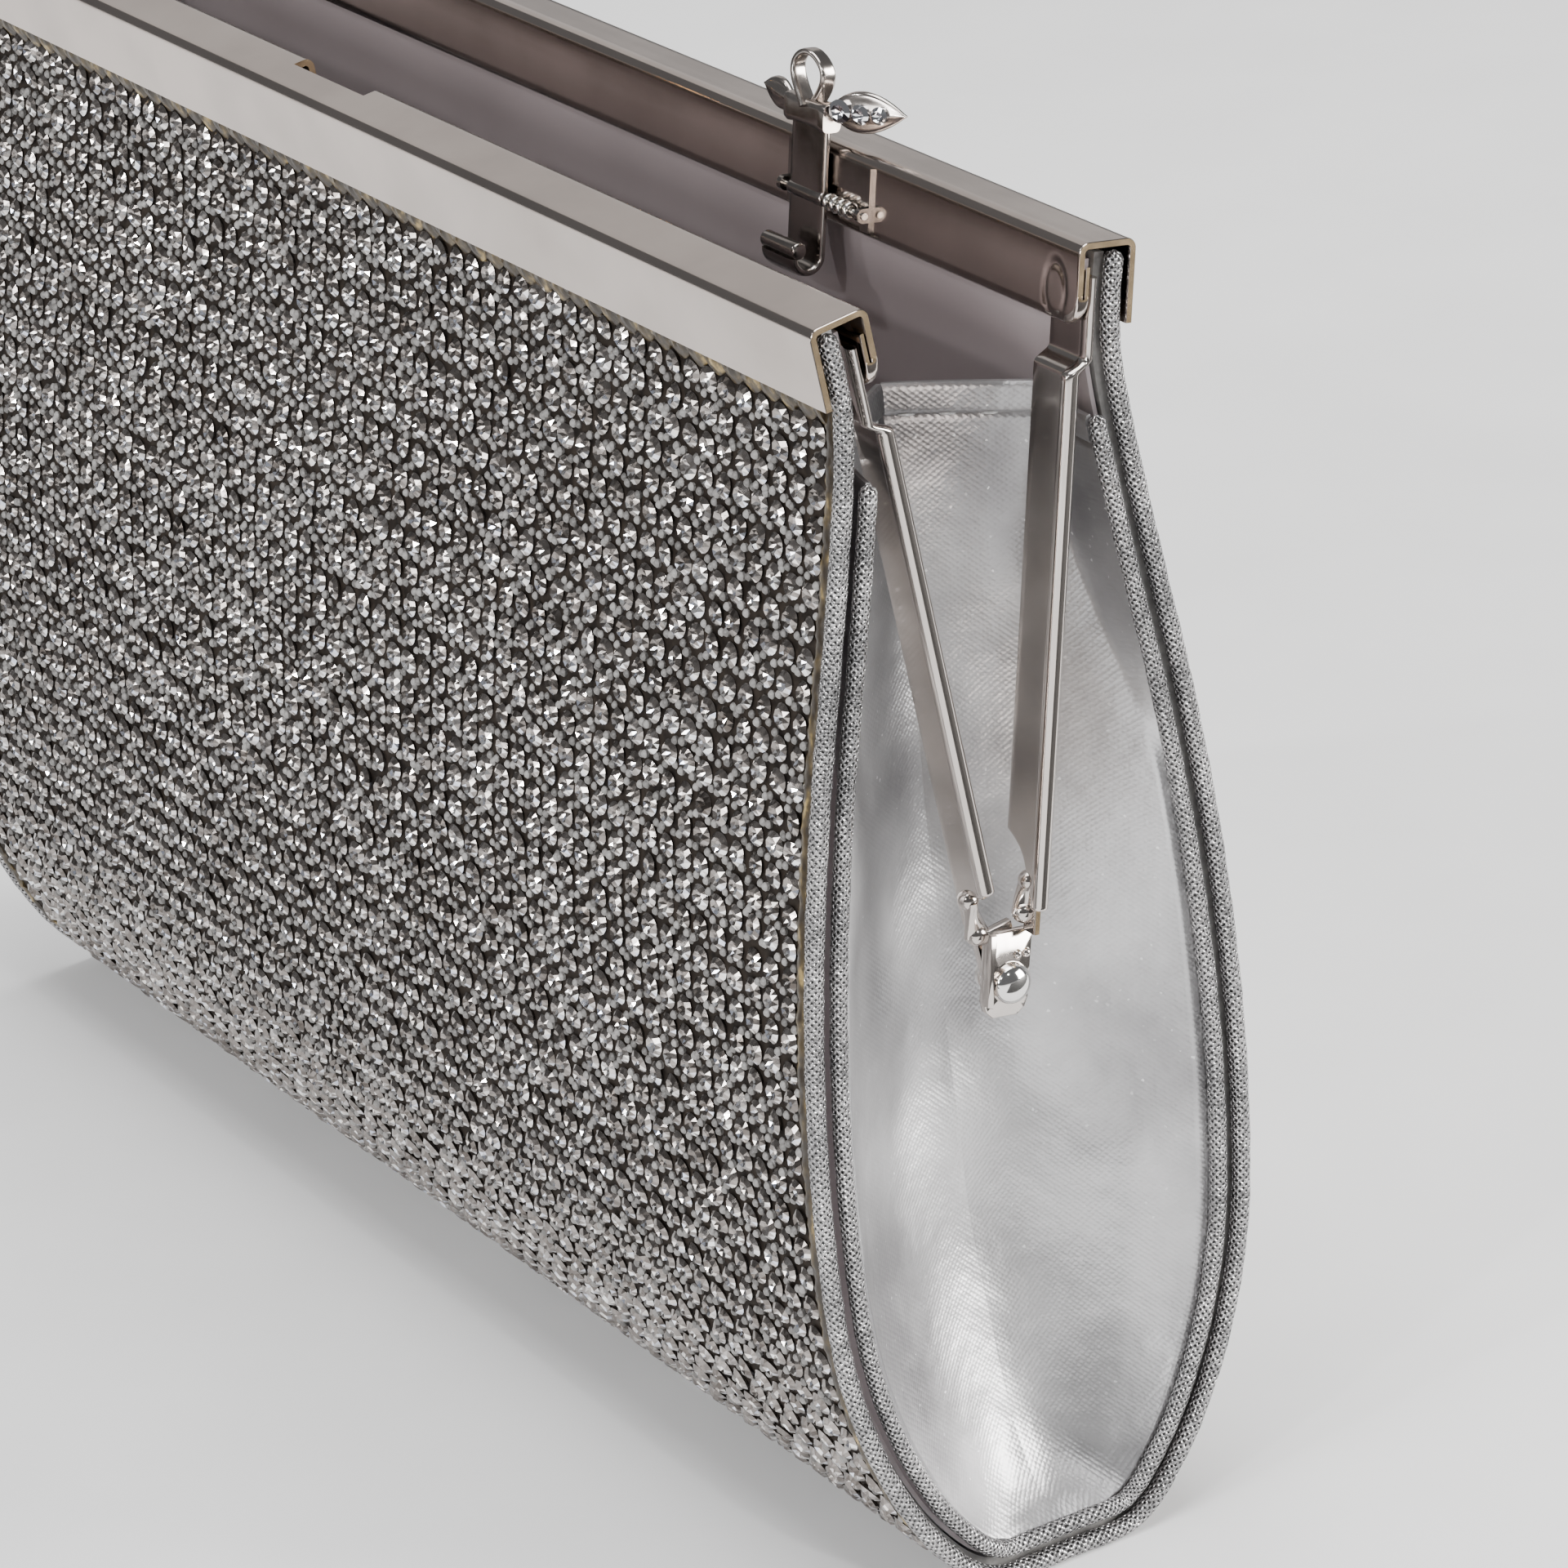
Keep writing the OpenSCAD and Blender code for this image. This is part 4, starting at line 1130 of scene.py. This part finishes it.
def bow_crystals():
    parts = Parts()
    for x, z, r in ((1.3, 67.7, 1.05), (3.3, 67.7, 0.9), (5.2, 67.9, 0.8)):
        points, faces = stone_shape(r)
        stood = np.stack([points[:, 0], -points[:, 2] * 0.9, points[:, 1]], -1)
        stood = turned(stood + [x, -0.32, 0], LEAF_TURN)
        parts.add(stood + [STEM_W / 2 + 0.1, 0, z], faces)
    return parts


BOW_STONE = nickel("bow_stone_foil", (0.90, 0.90, 0.93), (0.02, 0.05))
BOW = nickel("bow_nickel", (0.48, 0.44, 0.41), (0.10, 0.2))
for build, name, material, node, slot in (
    (lever, "clasp_hook_strap", CLASP, "clasp_lever", "clasp_metal"),
    (bow, "clasp_ribbon_bow", BOW, "clasp_bow", "clasp_metal"),
    (bow_crystals, "bow_crystals", BOW_STONE, "bow_stones", "bow_stone"),
):
    obj = build().make(name, material, lambda p: swung(p + [CLASP_X, PIN_N, 0]), build is not bow_crystals)
    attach(obj, "clasp")
    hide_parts(node)


# -------- CAD nodes that stay, with their metal
def repaint(material, *nodes):
    for name in nodes:
        obj = frame["nodes"][name]
        obj.data.materials.clear()
        obj.data.materials.append(material)


repaint(CLASP, "clasp_bracket")
repaint(SPRING, "clasp_pin", "clasp_spring")

# -------- floor, lights, camera
def ground_sheet(name, x0, x1, y0, y1, z, material):
    """A flat sheet of the studio, not part of the bag, in metres."""
    mesh = bpy.data.meshes.new(name)
    mesh.from_pydata([(x0, y0, z), (x1, y0, z), (x1, y1, z), (x0, y1, z)], [], [(0, 1, 2, 3)])
    mesh.materials.append(material)
    obj = bpy.data.objects.new(name, mesh)
    bpy.context.scene.collection.objects.link(obj)
    return obj


PAPER = plain("floor_paper", (0.86, 0.86, 0.86), (0.90, 0.90, 0.90), 0.9, 40, 0.02)
CARD = plain("card_black", (0.02, 0.02, 0.02), (0.03, 0.03, 0.03), 0.9, 40, 0.02)
ground_sheet("floor", -3, 3, -3, 3, 0, PAPER)

# Dark cards on the floor that only show in the metal's reflections
for name, area in (("card_right", (0.15, 0.95, -0.03, 0.9)), ("card_front", (-0.05, 0.17, -0.9, -0.16))):
    card = ground_sheet(name, *area, 0.002, CARD)
    card.visible_camera = False
    card.visible_diffuse = False
    card.visible_shadow = False

world = bpy.data.worlds.new("studio")
world.use_nodes = True
world.node_tree.nodes["Background"].inputs["Color"].default_value = (0.96, 0.97, 1.0, 1)
world.node_tree.nodes["Background"].inputs["Strength"].default_value = 0.16
bpy.context.scene.world = world


def area_light(name, at, aim, size, power, color=(1, 1, 1)):
    data = bpy.data.lights.new(name, "AREA")
    data.shape = "RECTANGLE"
    data.size, data.size_y = size
    data.energy = power
    data.color = color
    obj = bpy.data.objects.new(name, data)
    bpy.context.scene.collection.objects.link(obj)
    obj.location = at
    obj.visible_camera = False
    obj.rotation_euler = (Vector(aim) - Vector(at)).to_track_quat("-Z", "Y").to_euler()


HEART = (0.06, 0, 0.06)
area_light("overhead", (0.05, 0.0, 1.25), HEART, (0.8, 0.8), 17)
area_light("window", (0.76, 0.74, 0.34), HEART, (0.55, 0.55), 24, (1.0, 0.985, 0.965))
area_light("front", (0.15, -1.15, 0.55), HEART, (0.35, 0.35), 6)
area_light("back_fill", (-1.0, 0.45, 0.70), HEART, (1.0, 0.9), 1.6, (1.0, 0.96, 0.93))
# Small bright lamps for the sparkle of the stones
SPARKS = [(0.55, -0.95, 0.75), (-0.45, -0.9, 0.95), (0.95, -0.15, 0.85), (0.25, -0.9, 0.25)]
for k, place in enumerate(SPARKS):
    area_light(f"spark_{k}", place, HEART, (0.035, 0.035), 2.4)

# The camera stands off the bag's right front end, and leans a little
camera_data = bpy.data.cameras.new("camera")
camera_data.lens = 153.8
camera_data.sensor_width = 36
camera_data.clip_start = 0.01
camera = bpy.data.objects.new("camera", camera_data)
bpy.context.scene.collection.objects.link(camera)
AZIMUTH = math.radians(59.8)
ELEVATION = math.radians(23.6)
ROLL = math.radians(-5.05)
camera.location = (0.515, -0.2714, 0.2977)
camera.rotation_euler = (
    Matrix.Rotation(AZIMUTH, 3, "Z") @ Matrix.Rotation(math.pi / 2 - ELEVATION, 3, "X")
    @ Matrix.Rotation(ROLL, 3, "Z")
).to_euler()
bpy.context.scene.camera = camera
